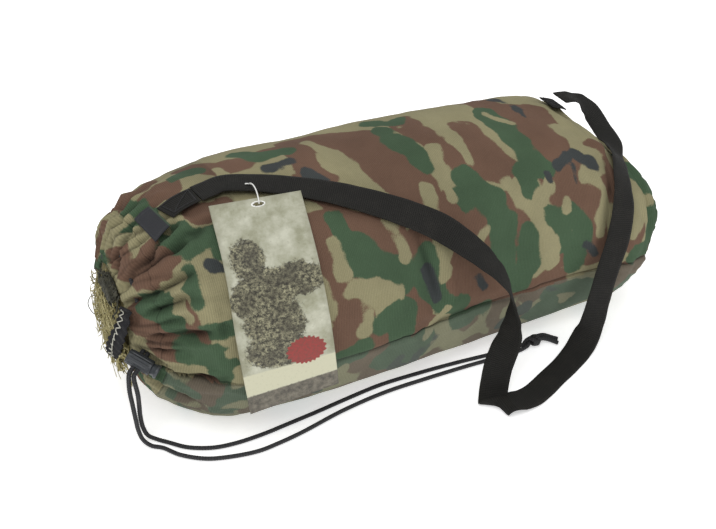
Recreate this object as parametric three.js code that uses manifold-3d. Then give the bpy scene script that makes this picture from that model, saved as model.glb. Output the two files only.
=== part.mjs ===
// Ghillie suit packed in its camouflage drawcord carry bag, lying on its side.
// Millimetres. +X runs along the bag from the mouth to the base, +Y points away from the
// front, +Z is up. The origin is on the resting surface below the middle of the bag.
import * as THREE from 'three';
import * as BufferGeometryUtils from 'three/addons/utils/BufferGeometryUtils.js';
import Module from 'manifold-3d';

// ---------------------------------------------------------------- driving dimensions
const SECTION_POWER = 2.3;        // superellipse power of the bag's cross sections
const FABRIC = 1.6;               // bag wall, fabric with its lining
const SEAM_Z = 66;                // height of the long seam between upper and lower panel
const GAP = 0.3;                  // gap between touching pieces
const HEM_X = -234;               // where the drawcord channel meets the panels
const CORD_D = 4;                 // draw cord diameter
const WEB_W = 25;                 // strap webbing width
const WEB_T = 1.6;                // strap webbing thickness
const LOCK_D = 13, LOCK_L = 22;   // cord lock barrel
const PLUNGER_D = 10, PLUNGER_OUT = 6.5, PLUNGER_TRAVEL = 3.5;
const TAG_T = 0.8;                // hang tag card thickness
// Outer cross sections: x, height, width, bottom z, sideways shift. A bottom below zero is
// pressed flat on the surface at z = 0.
const SECTIONS = [
  [-249, 84, 98, 49, -4], [-246, 101, 112, 40, -4], [-240, 127, 135, 27, -3], [-230, 151, 163, 15, -3],
  [-216, 171, 191, 4, -4], [-198, 184.5, 218, -3, -8], [-178, 192, 235, -6, -8], [-150, 196.5, 243, -6, -7],
  [-115, 198, 244.5, -6, -6], [-70, 198.8, 241.5, -6, -4], [-20, 200.7, 240, -6, -1], [35, 202, 227, -6, 0.5],
  [90, 202, 214, -6, 2.5], [140, 197, 208, -6, 5], [172, 190, 218, -5, 12], [192, 180, 226, -2, 15],
  [208, 160, 219, 2, 11], [222, 137, 202, 9, 7.5], [235, 120, 175, 17, 5], [243, 101, 158, 32, 0], [248.5, 78, 138, 51, -6],
];
const TIP = [250.5, -5, 92];      // middle of the base end

// ---------------------------------------------------------------- helpers
const wasm = await Module();
wasm.setup();
const V = (x, y, z) => new THREE.Vector3(x, y, z);

function positionOnly(geometry) {
  let g = geometry.clone();
  for (const name of Object.keys(g.attributes)) if (name !== 'position') g.deleteAttribute(name);
  g = BufferGeometryUtils.mergeVertices(g, 1e-4);
  const index = g.index.array, keep = [];
  for (let i = 0; i < index.length; i += 3) {
    const [a, b, c] = [index[i], index[i + 1], index[i + 2]];
    if (a !== b && b !== c && c !== a) keep.push(a, b, c);
  }
  g.setIndex(keep);
  let volume = 0;
  const p = g.attributes.position, A = V(0, 0, 0), B = V(0, 0, 0), C = V(0, 0, 0);
  for (let i = 0; i < keep.length; i += 3) {
    A.fromBufferAttribute(p, keep[i]); B.fromBufferAttribute(p, keep[i + 1]); C.fromBufferAttribute(p, keep[i + 2]);
    volume += A.dot(B.cross(C));
  }
  if (volume < 0) {
    for (let i = 0; i < keep.length; i += 3) [keep[i + 1], keep[i + 2]] = [keep[i + 2], keep[i + 1]];
    g.setIndex(keep);
  }
  return g;
}
function solid(geometry) {
  const g = positionOnly(geometry);
  return new wasm.Manifold(new wasm.Mesh({
    numProp: 3,
    vertProperties: new Float32Array(g.attributes.position.array),
    triVerts: new Uint32Array(g.index.array),
  }));
}
function geometryOf(manifold) {
  const m = manifold.getMesh();
  const n = m.vertProperties.length / m.numProp;
  const positions = new Float32Array(n * 3);
  for (let i = 0; i < n; i++) for (let k = 0; k < 3; k++) positions[3 * i + k] = m.vertProperties[i * m.numProp + k];
  const g = new THREE.BufferGeometry();
  g.setAttribute('position', new THREE.BufferAttribute(positions, 3));
  g.setIndex(new THREE.BufferAttribute(new Uint32Array(m.triVerts), 1));
  g.computeVertexNormals();
  return g;
}
function box(x0, y0, z0, x1, y1, z1) {
  const g = new THREE.BoxGeometry(x1 - x0, y1 - y0, z1 - z0);
  g.translate((x0 + x1) / 2, (y0 + y1) / 2, (z0 + z1) / 2);
  return g;
}
function remap(geometry, fn) {
  const p = geometry.attributes.position, v = V(0, 0, 0);
  for (let i = 0; i < p.count; i++) {
    v.fromBufferAttribute(p, i);
    const q = fn(v);
    p.setXYZ(i, q.x, q.y, q.z);
  }
  return geometry;
}
// A tube of a round section along a smooth route, closed at both ends.
function tube(points, radius, steps, sides = 8, closed = false) {
  const shape = new THREE.Shape();
  for (let i = 0; i < sides; i++) {
    const a = (i + 0.5) / sides * Math.PI * 2;
    if (i === 0) shape.moveTo(radius * Math.cos(a), radius * Math.sin(a));
    else shape.lineTo(radius * Math.cos(a), radius * Math.sin(a));
  }
  const path = new THREE.CatmullRomCurve3(points, closed, 'centripetal');
  return new THREE.ExtrudeGeometry(shape, { steps, bevelEnabled: false, extrudePath: path });
}
function frameMatrix(origin, zAxis, xHint) {
  const z = zAxis.clone().normalize();
  const x = xHint.clone().addScaledVector(z, -xHint.dot(z)).normalize();
  const y = z.clone().cross(x);
  return new THREE.Matrix4().makeBasis(x, y, z).setPosition(origin);
}

// ---------------------------------------------------------------- the bag's surface
function sectionAt(x) {
  const S = SECTIONS;
  if (x <= S[0][0]) return S[0].slice(1);
  if (x >= S[S.length - 1][0]) return S[S.length - 1].slice(1);
  let i = 0;
  while (S[i + 1][0] < x) i++;
  const t = (x - S[i][0]) / (S[i + 1][0] - S[i][0]);
  return [1, 2, 3, 4].map((k) => S[i][k] * (1 - t) + S[i + 1][k] * t);
}
function surface(x, angle, inset = 0) {
  const [h, w, zb, ys] = sectionAt(x);
  const c = Math.cos(angle), s = Math.sin(angle), e = 2 / SECTION_POWER;
  const y = ys + Math.sign(c) * Math.abs(c) ** e * (w / 2 - inset);
  const z = zb + h / 2 + Math.sign(s) * Math.abs(s) ** e * (h / 2 - inset);
  return V(x, y, Math.max(z, inset > 0 ? inset : 0));
}
// Closed solid between rings: each row is [x, inset], or a tip [x, y, z, 'tip'].
function lofted(rows, segments) {
  const profile = rows.map((r, i) => new THREE.Vector2(r[3] === 'tip' ? 0 : 1, i));
  const g = new THREE.LatheGeometry(profile, segments);
  return remap(g, (v) => {
    const r = rows[Math.round(v.y)];
    if (r[3] === 'tip') return V(r[0], r[1], r[2]);
    return surface(r[0], Math.atan2(v.z, v.x), r[1]);
  });
}
const XS = SECTIONS.map((s) => s[0]);
const SEGMENTS = 36;
const outerRows = XS.map((x) => [x, 0]).reverse();
const innerXS = XS.filter((x) => x < 246);
const innerRows = innerXS.map((x) => [x, FABRIC]);
const shell = solid(lofted([
  [...TIP, 'tip'], ...outerRows, ...innerRows, [TIP[0] - FABRIC - 3, TIP[1], TIP[2], 'tip'],
], SEGMENTS));
const upperShell = shell.intersect(solid(box(HEM_X, -200, SEAM_Z + GAP / 2, 300, 200, 300)));
const lowerShell = shell.intersect(solid(box(HEM_X, -200, -10, 300, 200, SEAM_Z - GAP / 2)));

// Drawcord channel: a folded hem, hollow for the cord, with a slot where the cord comes out.
const HEM_T = 9.5;
const ringRows = (list) => { const r = list.map((q) => q.slice()); r.push(list[0].slice()); return r; };
const hemSolid = solid(lofted(ringRows([
  [-249, 0], [-249, HEM_T], [HEM_X - GAP, HEM_T], [HEM_X - GAP, 0], [-240, 0], [-246, 0],
]), 40));
const CH_X = -242.3, CH_IN = 5.2;   // middle of the cord inside the channel
const BORE_R = 2.8;
const hemBore = (() => {
  const n = 8, profile = [];
  for (let i = 0; i <= n; i++) profile.push(new THREE.Vector2(1, i));
  return solid(remap(new THREE.LatheGeometry(profile, 48), (v) => {
    const a = (Math.round(v.y) % n) / n * Math.PI * 2;
    const q = surface(CH_X, Math.atan2(v.z, v.x), CH_IN + BORE_R * Math.cos(a));
    return V(CH_X + BORE_R * Math.sin(a), q.y, q.z);
  }));
})();
const EXIT_ANGLE = Math.atan2(-0.13, -0.99);   // towards the front, a little below the middle

// Cord lock frame: the barrel's axis, and the way the two strands run through it.
const LOCK_AXIS = V(0.69, -0.56, -0.455).normalize();
const CORD_DIR = (() => {
  const q = V(-0.66, -0.60, -0.45);
  return q.addScaledVector(LOCK_AXIS, -q.dot(LOCK_AXIS)).normalize();
})();
const hemExit = surface(CH_X, EXIT_ANGLE, 0);
const LOCK_C = hemExit.clone().addScaledVector(CORD_DIR, LOCK_D / 2 + 3.8);
const exitCut = new THREE.CylinderGeometry(2.8, 2.8, 18, 16);
exitCut.scale(1, 1, 1.85);
{
  const m = new THREE.Matrix4();
  const y = CORD_DIR.clone(), z = LOCK_AXIS.clone(), x = y.clone().cross(z);
  m.makeBasis(x, y, z).setPosition(hemExit.clone().addScaledVector(CORD_DIR, 1.5));
  exitCut.applyMatrix4(m);
}
const channel = hemSolid.subtract(hemBore).subtract(solid(exitCut));

// ---------------------------------------------------------------- the packed garments
const CORE_IN = FABRIC + 1.4;
function core(x0, x1, z0, z1, y0 = -190, y1 = 190) {
  const inner = XS.filter((x) => x > HEM_X + 3 && x < 240);
  const rows = [
    [HEM_X + 1.5, -8, 91, 'tip'], [HEM_X + 1.5, CORE_IN], ...inner.map((x) => [x, CORE_IN]), [242, CORE_IN], [243.5, -3, 88, 'tip'],
  ];
  return solid(lofted(rows, 24)).intersect(solid(box(x0, y0, z0, x1, y1, z1)));
}
const jacket = core(22, 260, -5, 260);
const hood = core(-78, 20, 97, 260);
const rifleWrap = core(-78, 20, -5, 95);
// The trousers lie at the mouth; a rounded bulge of them fills the hole inside the channel.
const trouserCore = core(-260, -80, -5, 260);
const bulgeAt = (grow) => {
  const g = new THREE.SphereGeometry(1, 20, 14);
  g.scale(25 + grow, 37 + grow, 29 + grow);
  g.translate(-232, -4, 91);
  return solid(g);
};
const trousers = trouserCore.add(bulgeAt(0).intersect(solid(box(-300, -100, 0, -225, 100, 200))));

// Yarn and netting hanging out of the mouth.
const tuftShape = new THREE.SphereGeometry(1, 14, 10);
tuftShape.scale(8, 17, 13);
tuftShape.rotateZ(0.3);
tuftShape.translate(-251.5, 12, 103);
const tufts = solid(tuftShape).subtract(bulgeAt(0.5)).subtract(solid(box(-249 + GAP - 1, -100, 0, -200, 100, 200)));
const hangingTuft = new THREE.SphereGeometry(1, 12, 9);
hangingTuft.scale(4.5, 6, 11);
hangingTuft.translate(-257.5, -44, 52);
const netting = new THREE.SphereGeometry(1, 12, 9);
netting.scale(4, 11, 6);
netting.translate(-254.6, -26, 124);
const waistbandPath = [V(-252.6, -53, 115), V(-258.2, -50, 107), V(-262.2, -43, 95), V(-264.4, -35, 83), V(-264.4, -27, 71), V(-262.6, -22, 60)];

// ---------------------------------------------------------------- webbing
function surfaceNormal(p) {
  const e = 0.5;
  const f = (q) => {
    const [h, w, zb, ys] = sectionAt(q.x);
    return Math.abs((q.y - ys) / (w / 2)) ** SECTION_POWER + Math.abs((q.z - zb - h / 2) / (h / 2)) ** SECTION_POWER;
  };
  const g = V(
    f(V(p.x + 8, p.y, p.z)) - f(V(p.x - 8, p.y, p.z)),
    (f(V(p.x, p.y + e, p.z)) - f(V(p.x, p.y - e, p.z))) * 8 / e,
    (f(V(p.x, p.y, p.z + e)) - f(V(p.x, p.y, p.z - e))) * 8 / e,
  );
  return g.normalize();
}
// Pushes a point out to a given distance from the bag's surface.
function onSurface(p, lift) {
  const [h, w, zb, ys] = sectionAt(p.x);
  const c = V(p.x, ys, zb + h / 2);
  const d = p.clone().sub(c);
  const f = (Math.abs(d.y / (w / 2)) ** SECTION_POWER + Math.abs(d.z / (h / 2)) ** SECTION_POWER) ** (1 / SECTION_POWER);
  const q = c.add(d.multiplyScalar(1 / f));
  return q.addScaledVector(surfaceNormal(q), lift);
}
// Stations along a ribbon: the two edge points and the face normal at each of them.
function stations(points, widths, width, count) {
  const path = new THREE.CatmullRomCurve3(points, false, 'centripetal');
  const n = points.length - 1, out = [];
  for (let i = 0; i <= count; i++) {
    const u = i / count, s = Math.min(u * n, n - 1e-9), j = Math.floor(s), k = s - j;
    const p = path.getPoint(u), t = path.getTangent(u);
    const w = widths[j].clone().lerp(widths[j + 1], k * k * (3 - 2 * k));
    w.addScaledVector(t, -w.dot(t)).normalize();
    const nrm = t.clone().cross(w).normalize();
    out.push([p.clone().addScaledVector(w, -width / 2), p.clone().addScaledVector(w, width / 2), nrm, nrm]);
  }
  return out;
}
function loftRibbon(list, thickness) {
  const g = new THREE.BoxGeometry(1, 1, 1, list.length - 1, 1, 1);
  return remap(g, (v) => {
    const s = list[Math.round((v.x + 0.5) * (list.length - 1))], side = v.y > 0 ? 1 : 0;
    return s[side].clone().addScaledVector(s[2 + side], v.z * thickness);
  });
}
const ribbon = (points, widths, width, thickness, steps) => loftRibbon(stations(points, widths, width, steps), thickness);
const LIFT = WEB_T / 2 + 0.9;
const onBag = [
  [-176.5, -20, 186], [-166, -19, 188], [-153.6, -18.4, 189.9], [-132.7, -27.6, 190.6], [-107.7, -41.8, 189],
  [-82.9, -56.4, 185.9], [-61.8, -69, 181.7], [-40.6, -81.6, 175.6], [-18.8, -93, 166.9], [2.8, -102, 155],
].map((p, i) => onSurface(V(...p), LIFT + [0, 0, 0, 0, 0, 0.2, 0.4, 0.8, 1.5, 3][i]));
const top1 = onBag.slice(), widths1 = [];
for (let i = 0; i < onBag.length; i++) {
  const a = onBag[Math.max(i - 1, 0)], b = onBag[Math.min(i + 1, onBag.length - 1)];
  widths1.push(surfaceNormal(onBag[i]).cross(b.clone().sub(a).normalize()).normalize());
}
// Down in front of the belly, turning edge on, then to the ground.
const free1 = [
  [[18, -117, 146.5], [0.55, 0.62, 0.56]], [[33, -126, 133], [0.58, 0.7, 0.42]], [[46, -131, 118], [0.55, 0.82, 0.2]],
  [[55.5, -133.5, 101], [0.45, 0.89, 0.05]], [[60.3, -134.5, 84], [0.3, 0.95, 0]], [[61, -135.5, 68], [0, 1, 0]],
  [[57.6, -136.5, 53], [-0.35, 0.93, 0]], [[51, -138, 39.5], [-0.68, 0.73, 0.1]], [[45.6, -139.5, 26], [-0.85, 0.5, 0.1]],
  [[42.4, -141, 13], [-0.89, 0.45, 0]], [[39.7, -144, 5.2], [-0.89, 0.45, 0]], [[36.9, -148.2, 1.9], [-0.893, 0.45, 0]],
  [[34.25, -152.4, 1.2], [-0.893, 0.45, 0]],
];
for (const [p, w] of free1) { top1.push(V(...p)); widths1.push(V(...w).normalize()); }
// On the ground the strap folds back over itself along a slanting crease.
const FOLD_A = V(0.505, -0.863, 0), FOLD_P = V(-0.863, -0.505, 0), FOLD_R = 3.2, FOLD_0 = V(30.2, -160.4, 1.2);
const ARM_1 = V(-0.45, -0.893, 0), ACROSS_1 = V(-0.893, 0.45, 0);
const foldStations = [];
for (let i = 0; i <= 16; i++) {
  const s = -9 + 32 * i / 16, row = [];
  const normals = [];
  for (const v of [-WEB_W / 2, WEB_W / 2]) {
    const a = s * ARM_1.dot(FOLD_A) + v * ACROSS_1.dot(FOLD_A), p = s * ARM_1.dot(FOLD_P) + v * ACROSS_1.dot(FOLD_P);
    const phi = Math.min(Math.max(p / FOLD_R, 0), Math.PI);
    const flat = p <= 0 ? p : p >= Math.PI * FOLD_R ? -(p - Math.PI * FOLD_R) : FOLD_R * Math.sin(phi);
    row.push(FOLD_0.clone().addScaledVector(FOLD_A, a).addScaledVector(FOLD_P, flat).add(V(0, 0, FOLD_R * (1 - Math.cos(phi)))));
    normals.push(FOLD_P.clone().multiplyScalar(Math.sin(phi)).add(V(0, 0, -Math.cos(phi))));
  }
  foldStations.push([...row, ...normals]);
}
const last = foldStations[foldStations.length - 1];
const top2 = [last[0].clone().add(last[1]).multiplyScalar(0.5)], widths2 = [last[1].clone().sub(last[0]).normalize()];
const free2 = [
  [[52.5, -165.6, 6.2], [0, 0.99, 0.1]], [[64, -162.5, 3.6], [-0.25, 0.96, 0.1]], [[79, -155.3, 1.8], [-0.45, 0.88, 0.03]], [[99, -143.8, 1.3], [-0.5, 0.86, 0]],
  [[120, -132.5, 1.4], [-0.5, 0.86, 0]], [[140, -120.5, 3.4], [-0.6, 0.8, 0.1]], [[152.5, -113.5, 10.5], [-0.82, 0.52, 0.22]], [[159.5, -111.8, 24], [-0.95, 0.2, 0.3]],
  [[164, -111.6, 42], [-0.96, 0.05, 0.26]], [[169, -110.8, 63], [-0.97, 0, 0.2]], [[178, -106.5, 84], [-0.97, 0, 0.2]],
];
for (const [p, w] of free2) { top2.push(V(...p)); widths2.push(V(...w).normalize()); }
const onBase = [
  [187, -97, 102, 3], [192.5, -90, 121, 2.5], [199, -78, 138, 2.6], [208, -59, 148, 3], [220.5, -33, 148, 3.6],
].map(([x, y, z, lift]) => onSurface(V(x, y, z), lift + WEB_T / 2));
for (let i = 0; i < onBase.length; i++) {
  const a = onBase[Math.max(i - 1, 0)], b = onBase[Math.min(i + 1, onBase.length - 1)];
  top2.push(onBase[i]);
  widths2.push(surfaceNormal(onBase[i]).cross(b.clone().sub(a).normalize()).normalize());
}
// Over the rim and in a free arch back to the end that is sewn on top.
const arch = [
  [[230.5, -13, 149.8], [-0.85, 0.38, 0.28]], [[231.5, 3, 155.5], [-0.96, -0.27, 0.08]], [[227, 12.5, 166], [-0.88, -0.45, -0.13]],
  [[219, 17.5, 176], [-0.62, -0.76, -0.18]], [[210, 20, 182.5], [-0.12, -0.98, -0.05]], [[201.5, 20, 185.5], [0, -1, 0]], [[193.8, 20, 185.8], [0, -1, 0]],
];
for (const [p, w] of arch) { top2.push(V(...p)); widths2.push(V(...w).normalize()); }
const strap = positionOnly(loftRibbon([
  ...stations(top1, widths1, WEB_W, 58).slice(0, -1), ...foldStations.slice(0, -1), ...stations(top2, widths2, WEB_W, 62),
], WEB_T));

const mouthEndPoints = [[-205, -25.5, 179], [-195, -22.5, 182.5], [-185, -20.5, 185], [-177.3, -20, 186]].map((p) => onSurface(V(...p), LIFT - 0.2));
const mouthEnd = positionOnly(ribbon(mouthEndPoints, mouthEndPoints.map(() => V(0, 1, 0)), WEB_W, WEB_T, 6));
const baseEndPoints = [[178.5, 20, 186], [184, 20, 185], [188, 20, 183.5], [192.8, 20, 182]].map((p) => onSurface(V(...p), LIFT + 0.1));
const baseEnd = positionOnly(ribbon(baseEndPoints, baseEndPoints.map(() => V(0, -1, 0)), WEB_W, WEB_T, 5));

// ---------------------------------------------------------------- label and hang tag
// A bent sheet between two edge curves, each given by points from top to bottom.
function sheet(left, right, thickness, columns, rows, holes = []) {
  const L = new THREE.CatmullRomCurve3(left, false, 'centripetal'), R = new THREE.CatmullRomCurve3(right, false, 'centripetal');
  const at = (s, t) => L.getPoint(t).lerp(R.getPoint(t), s);
  const g = new THREE.BoxGeometry(1, 1, 1, columns, rows, 1);
  remap(g, (v) => {
    const s = v.x + 0.5, t = 0.5 - v.y, e = 1e-3;
    const p = at(s, t);
    const ds = at(Math.min(s + e, 1), t).sub(at(Math.max(s - e, 0), t));
    const dt = at(s, Math.min(t + e, 1)).sub(at(s, Math.max(t - e, 0)));
    const n = ds.cross(dt).normalize().negate();
    return p.addScaledVector(n, v.z * thickness);
  });
  return g;
}
const TAG_LEFT = [V(-176.4, -49.3, 190.6), V(-184.4, -104.5, 160.5), V(-186.5, -129.5, 110), V(-180.3, -135.5, 45.4)];
const TAG_RIGHT = [V(-100.8, -58.5, 192.2), V(-109.2, -112.2, 159.6), V(-108.3, -134.0, 110.3), V(-103, -135.5, 52.3)];
const TAG_SLOT = V(-137.2, -58.6, 189.7);   // middle of the hanging slot
const tagSheet = solid(sheet(TAG_LEFT, TAG_RIGHT, TAG_T, 8, 26));
const slotCut = new THREE.CylinderGeometry(1.8, 1.8, 12, 14);
slotCut.scale(2.4, 1, 1);
slotCut.rotateX(Math.PI / 2 - 0.35);
slotCut.translate(TAG_SLOT.x, TAG_SLOT.y, TAG_SLOT.z);
const tag = tagSheet.subtract(solid(slotCut));
// White thread from the webbing over the card's top edge into the slot.
const STRING_TOP = onSurface(V(-135.5, -31.5, 190), LIFT + WEB_T / 2 + 0.9);
const stringPath = [STRING_TOP, V(-135.6, -37, 196.2), V(-136, -45, 198), V(-136.6, -53, 196.4), V(-137.1, -58.2, 191.2), V(-137.2, -58.9, 188.6)];

const LABEL_BACK = [V(-211.4, -6.4, 177.2), V(-205.6, -42, 176.2)];
const LABEL_FRONT = [V(-225.5, -10.5, 170.2), V(-219.9, -47.5, 167.5)];
const lift = (p, d) => onSurface(p, d);
const labelLeft = [lift(LABEL_BACK[0], 1.6), lift(LABEL_BACK[0].clone().lerp(LABEL_FRONT[0], 0.5), 2.4), lift(LABEL_FRONT[0], 2.6)];
const labelRight = [lift(LABEL_BACK[1], 1.8), lift(LABEL_BACK[1].clone().lerp(LABEL_FRONT[1], 0.5), 2.6), lift(LABEL_FRONT[1], 2.8)];
const label = positionOnly(sheet(labelLeft, labelRight, 0.8, 3, 3));

// ---------------------------------------------------------------- cord lock
const lockFrame = new THREE.Matrix4().makeBasis(CORD_DIR.clone().cross(LOCK_AXIS), CORD_DIR, LOCK_AXIS).setPosition(LOCK_C);
// In the lock's own frame Z is the barrel's axis, Y the way the strands run; the slot is at Z = 0.
const toAxisZ = (g) => { g.rotateX(Math.PI / 2); return g; };
const barrelProfile = [
  [0, -LOCK_L / 2], [LOCK_D / 2 - 1, -LOCK_L / 2], [LOCK_D / 2, -LOCK_L / 2 + 1], [LOCK_D / 2, LOCK_L / 2 - 0.6], [LOCK_D / 2 - 0.5, LOCK_L / 2],
  [PLUNGER_D / 2 + 0.3, LOCK_L / 2], [PLUNGER_D / 2 + 0.3, -LOCK_L / 2 + 1.6], [0, -LOCK_L / 2 + 1.6],
].map((p) => new THREE.Vector2(...p));
const barrelRaw = solid(toAxisZ(new THREE.LatheGeometry(barrelProfile, 24)));
const slotTool = (length, width, depth) => solid(box(-width / 2, -depth / 2, -length / 2, width / 2, depth / 2, length / 2));
const barrel = geometryOf(barrelRaw.subtract(slotTool(9.0, 4.8, 30)));
barrel.applyMatrix4(lockFrame);
const P0 = -LOCK_L / 2 + 1.6 + PLUNGER_TRAVEL + 1.2, P1 = LOCK_L / 2 + PLUNGER_OUT;
const plungerProfile = [
  [0, P0], [PLUNGER_D / 2 - 0.4, P0], [PLUNGER_D / 2, P0 + 0.4], [PLUNGER_D / 2, LOCK_L / 2 + PLUNGER_TRAVEL + 0.5], [LOCK_D / 2 - 0.6, LOCK_L / 2 + PLUNGER_TRAVEL + 0.5],
  [LOCK_D / 2 - 0.6, P1 - 0.8], [LOCK_D / 2 - 1.4, P1], [0, P1],
].map((p) => new THREE.Vector2(...p));
const plungerSlot = slotTool(8.6 + PLUNGER_TRAVEL + 0.4, 4.8, 30).translate([0, 0, PLUNGER_TRAVEL / 2]);
const plunger = geometryOf(solid(toAxisZ(new THREE.LatheGeometry(plungerProfile, 24))).subtract(plungerSlot));
plunger.applyMatrix4(lockFrame);
// Coil spring between the barrel's floor and the plunger.
const springPoints = [];
const SPRING_R = 3.4, SPRING_WIRE = 0.35, SPRING_Z0 = -LOCK_L / 2 + 1.6 + 0.6, SPRING_Z1 = P0 - 0.6, TURNS = 3;
for (let i = 0; i <= TURNS * 10; i++) {
  const a = i / 10 * Math.PI * 2, z = SPRING_Z0 + (SPRING_Z1 - SPRING_Z0) * i / (TURNS * 10);
  springPoints.push(V(SPRING_R * Math.cos(a), SPRING_R * Math.sin(a), z));
}
const spring = tube(springPoints, SPRING_WIRE, 44, 6);
spring.applyMatrix4(lockFrame);

// ---------------------------------------------------------------- draw cord
const ringPoints = [];
for (let i = 0; i <= 40; i++) {
  const a = EXIT_ANGLE + 0.16 + (Math.PI * 2 - 0.32) * i / 40;
  ringPoints.push(surface(CH_X, a, CH_IN));
}
const channelCord = tube(ringPoints, CORD_D / 2, 60, 8);
// The strands leave the channel side by side, pass the lock, drop to the ground and run to the knot.
const SIDE = 2.15;
const straightA = (d) => LOCK_C.clone().addScaledVector(CORD_DIR, d).addScaledVector(LOCK_AXIS, -SIDE);
const straightB = (d) => LOCK_C.clone().addScaledVector(CORD_DIR, d).addScaledVector(LOCK_AXIS, SIDE);
const IN = -(LOCK_D / 2 + 3.8) - 1.5;
const strandA = [
  straightA(IN), straightA(-3), straightA(4), straightA(9), straightA(13),
  V(-262.2, -79.4, 57), V(-261.4, -80.8, 44), V(-260.2, -81.6, 30), V(-258.6, -81.8, 16), V(-255.6, -83, 6.5), V(-250.6, -87.5, 2.6), V(-242.8, -93.5, 2.1), V(-233, -108, 2.1),
  V(-216, -121.5, 2.1), V(-199.3, -127.2, 2.1), V(-173.7, -130.6, 2.1), V(-152.1, -127.6, 2.1), V(-130.1, -122.5, 2.1), V(-88.8, -110.1, 2.1),
  V(-44.8, -101.5, 2.1), V(-0.4, -98.4, 2.1), V(40, -96.9, 2.1), V(75, -96.6, 2.1), V(96, -95.6, 2.3), V(102.5, -94.6, 3.4),
];
const strandB = [
  straightB(IN), straightB(-3), straightB(4), straightB(9), straightB(13),
  V(-257.0, -84.4, 54.5), V(-255.8, -80.4, 41), V(-255.3, -78.6, 28), V(-253.6, -77.8, 15), V(-250.2, -78.2, 6.5), V(-243.6, -81.5, 2.6), V(-236.5, -88.5, 2.1), V(-224, -101.5, 2.1),
  V(-206, -110.5, 2.1), V(-188, -113, 2.1), V(-163, -111.5, 2.1), V(-136, -107, 2.1), V(-108, -102, 2.1), V(-80, -96.3, 2.1),
  V(-44, -90, 2.1), V(-5, -88.2, 2.1), V(32, -88.2, 2.1), V(66, -89.6, 2.1), V(92, -90.4, 2.3), V(102, -90.4, 3.4),
];
const cordA = tube(strandA, CORD_D / 2, 78, 8);
const cordB = tube(strandB, CORD_D / 2, 78, 8);
// Overhand knot as one rounded body with its two tails.
const knotBall = new THREE.SphereGeometry(1, 18, 12);
knotBall.scale(9, 6.6, 5.3);
knotBall.rotateZ(0.25);
knotBall.translate(111.9, -92, 5.4);
const tailA = tube([V(115, -93, 5), V(121, -92.4, 5.2), V(127, -93.4, 4.2), V(131.5, -97, 2.4), V(133.5, -100.6, 2.1)], CORD_D / 2, 12, 8);
const tailB = tube([V(114, -90, 5), V(119, -86.6, 6), V(125.5, -86.4, 5.2), V(132, -90, 2.6), V(137, -95, 2.1)], CORD_D / 2, 12, 8);
const knot = solid(knotBall).add(solid(tailA)).add(solid(tailB));

// ---------------------------------------------------------------- assembly
const root = new THREE.Group();
function add(name, geometry, color, roughness, metalness = 0) {
  const mesh = new THREE.Mesh(geometry, new THREE.MeshStandardMaterial({ color, roughness, metalness }));
  mesh.name = name;
  root.add(mesh);
}
const asGeometry = (g) => { const q = g.index ? g : positionOnly(g); q.computeVertexNormals(); return q; };
add('bag_upper_panel', geometryOf(upperShell), 0x5d6b48, 0.9);
add('bag_lower_panel', geometryOf(lowerShell), 0x72785f, 0.9);
add('drawcord_channel', geometryOf(channel), 0x7b6a4d, 0.9);
add('jacket', geometryOf(jacket), 0x8a8350, 0.95);
add('trousers', geometryOf(trousers), 0x9a9254, 0.95);
add('hood', geometryOf(hood), 0x7c7a48, 0.95);
add('rifle_wrap', geometryOf(rifleWrap), 0x6f6d3c, 0.95);
add('trouser_waistband', asGeometry(positionOnly(ribbon(waistbandPath, waistbandPath.map(() => V(0.35, 0.85, 0.35)), 14, 2.2, 16))), 0x232427, 0.8);
add('yarn_tuft_mouth', geometryOf(tufts), 0xb8a860, 0.95);
add('yarn_tuft_hanging', asGeometry(positionOnly(hangingTuft)), 0xb8a860, 0.95);
add('netting_tuft', asGeometry(positionOnly(netting)), 0x34352a, 0.95);
add('draw_cord_in_channel', asGeometry(positionOnly(channelCord)), 0x1c1c1e, 0.85);
add('draw_cord_strand_a', asGeometry(positionOnly(cordA)), 0x1c1c1e, 0.85);
add('draw_cord_strand_b', asGeometry(positionOnly(cordB)), 0x1c1c1e, 0.85);
add('draw_cord_knot', geometryOf(knot), 0x1c1c1e, 0.85);
add('cord_lock_barrel', barrel, 0x2b2d31, 0.45);
add('cord_lock_plunger', plunger, 0x3b3e42, 0.4);
add('cord_lock_spring', asGeometry(positionOnly(spring)), 0xb0b0b0, 0.3, 1);
add('shoulder_strap', asGeometry(strap), 0x1b1c1f, 0.8);
add('strap_mouth_end', asGeometry(mouthEnd), 0x1b1c1f, 0.8);
add('strap_base_end', asGeometry(baseEnd), 0x1b1c1f, 0.8);
add('woven_label', asGeometry(label), 0x17181c, 0.7);
add('tag_string', asGeometry(positionOnly(tube(stringPath, 0.7, 14, 8))), 0xe8e8e4, 0.6);
add('hang_tag', geometryOf(tag), 0xb9b79c, 0.6);

export default root;
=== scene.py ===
"""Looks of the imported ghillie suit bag: cloth, webbing, cords, lock, card and studio."""

import math

import bpy
import numpy as np
from mathutils import Matrix, Vector


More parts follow.
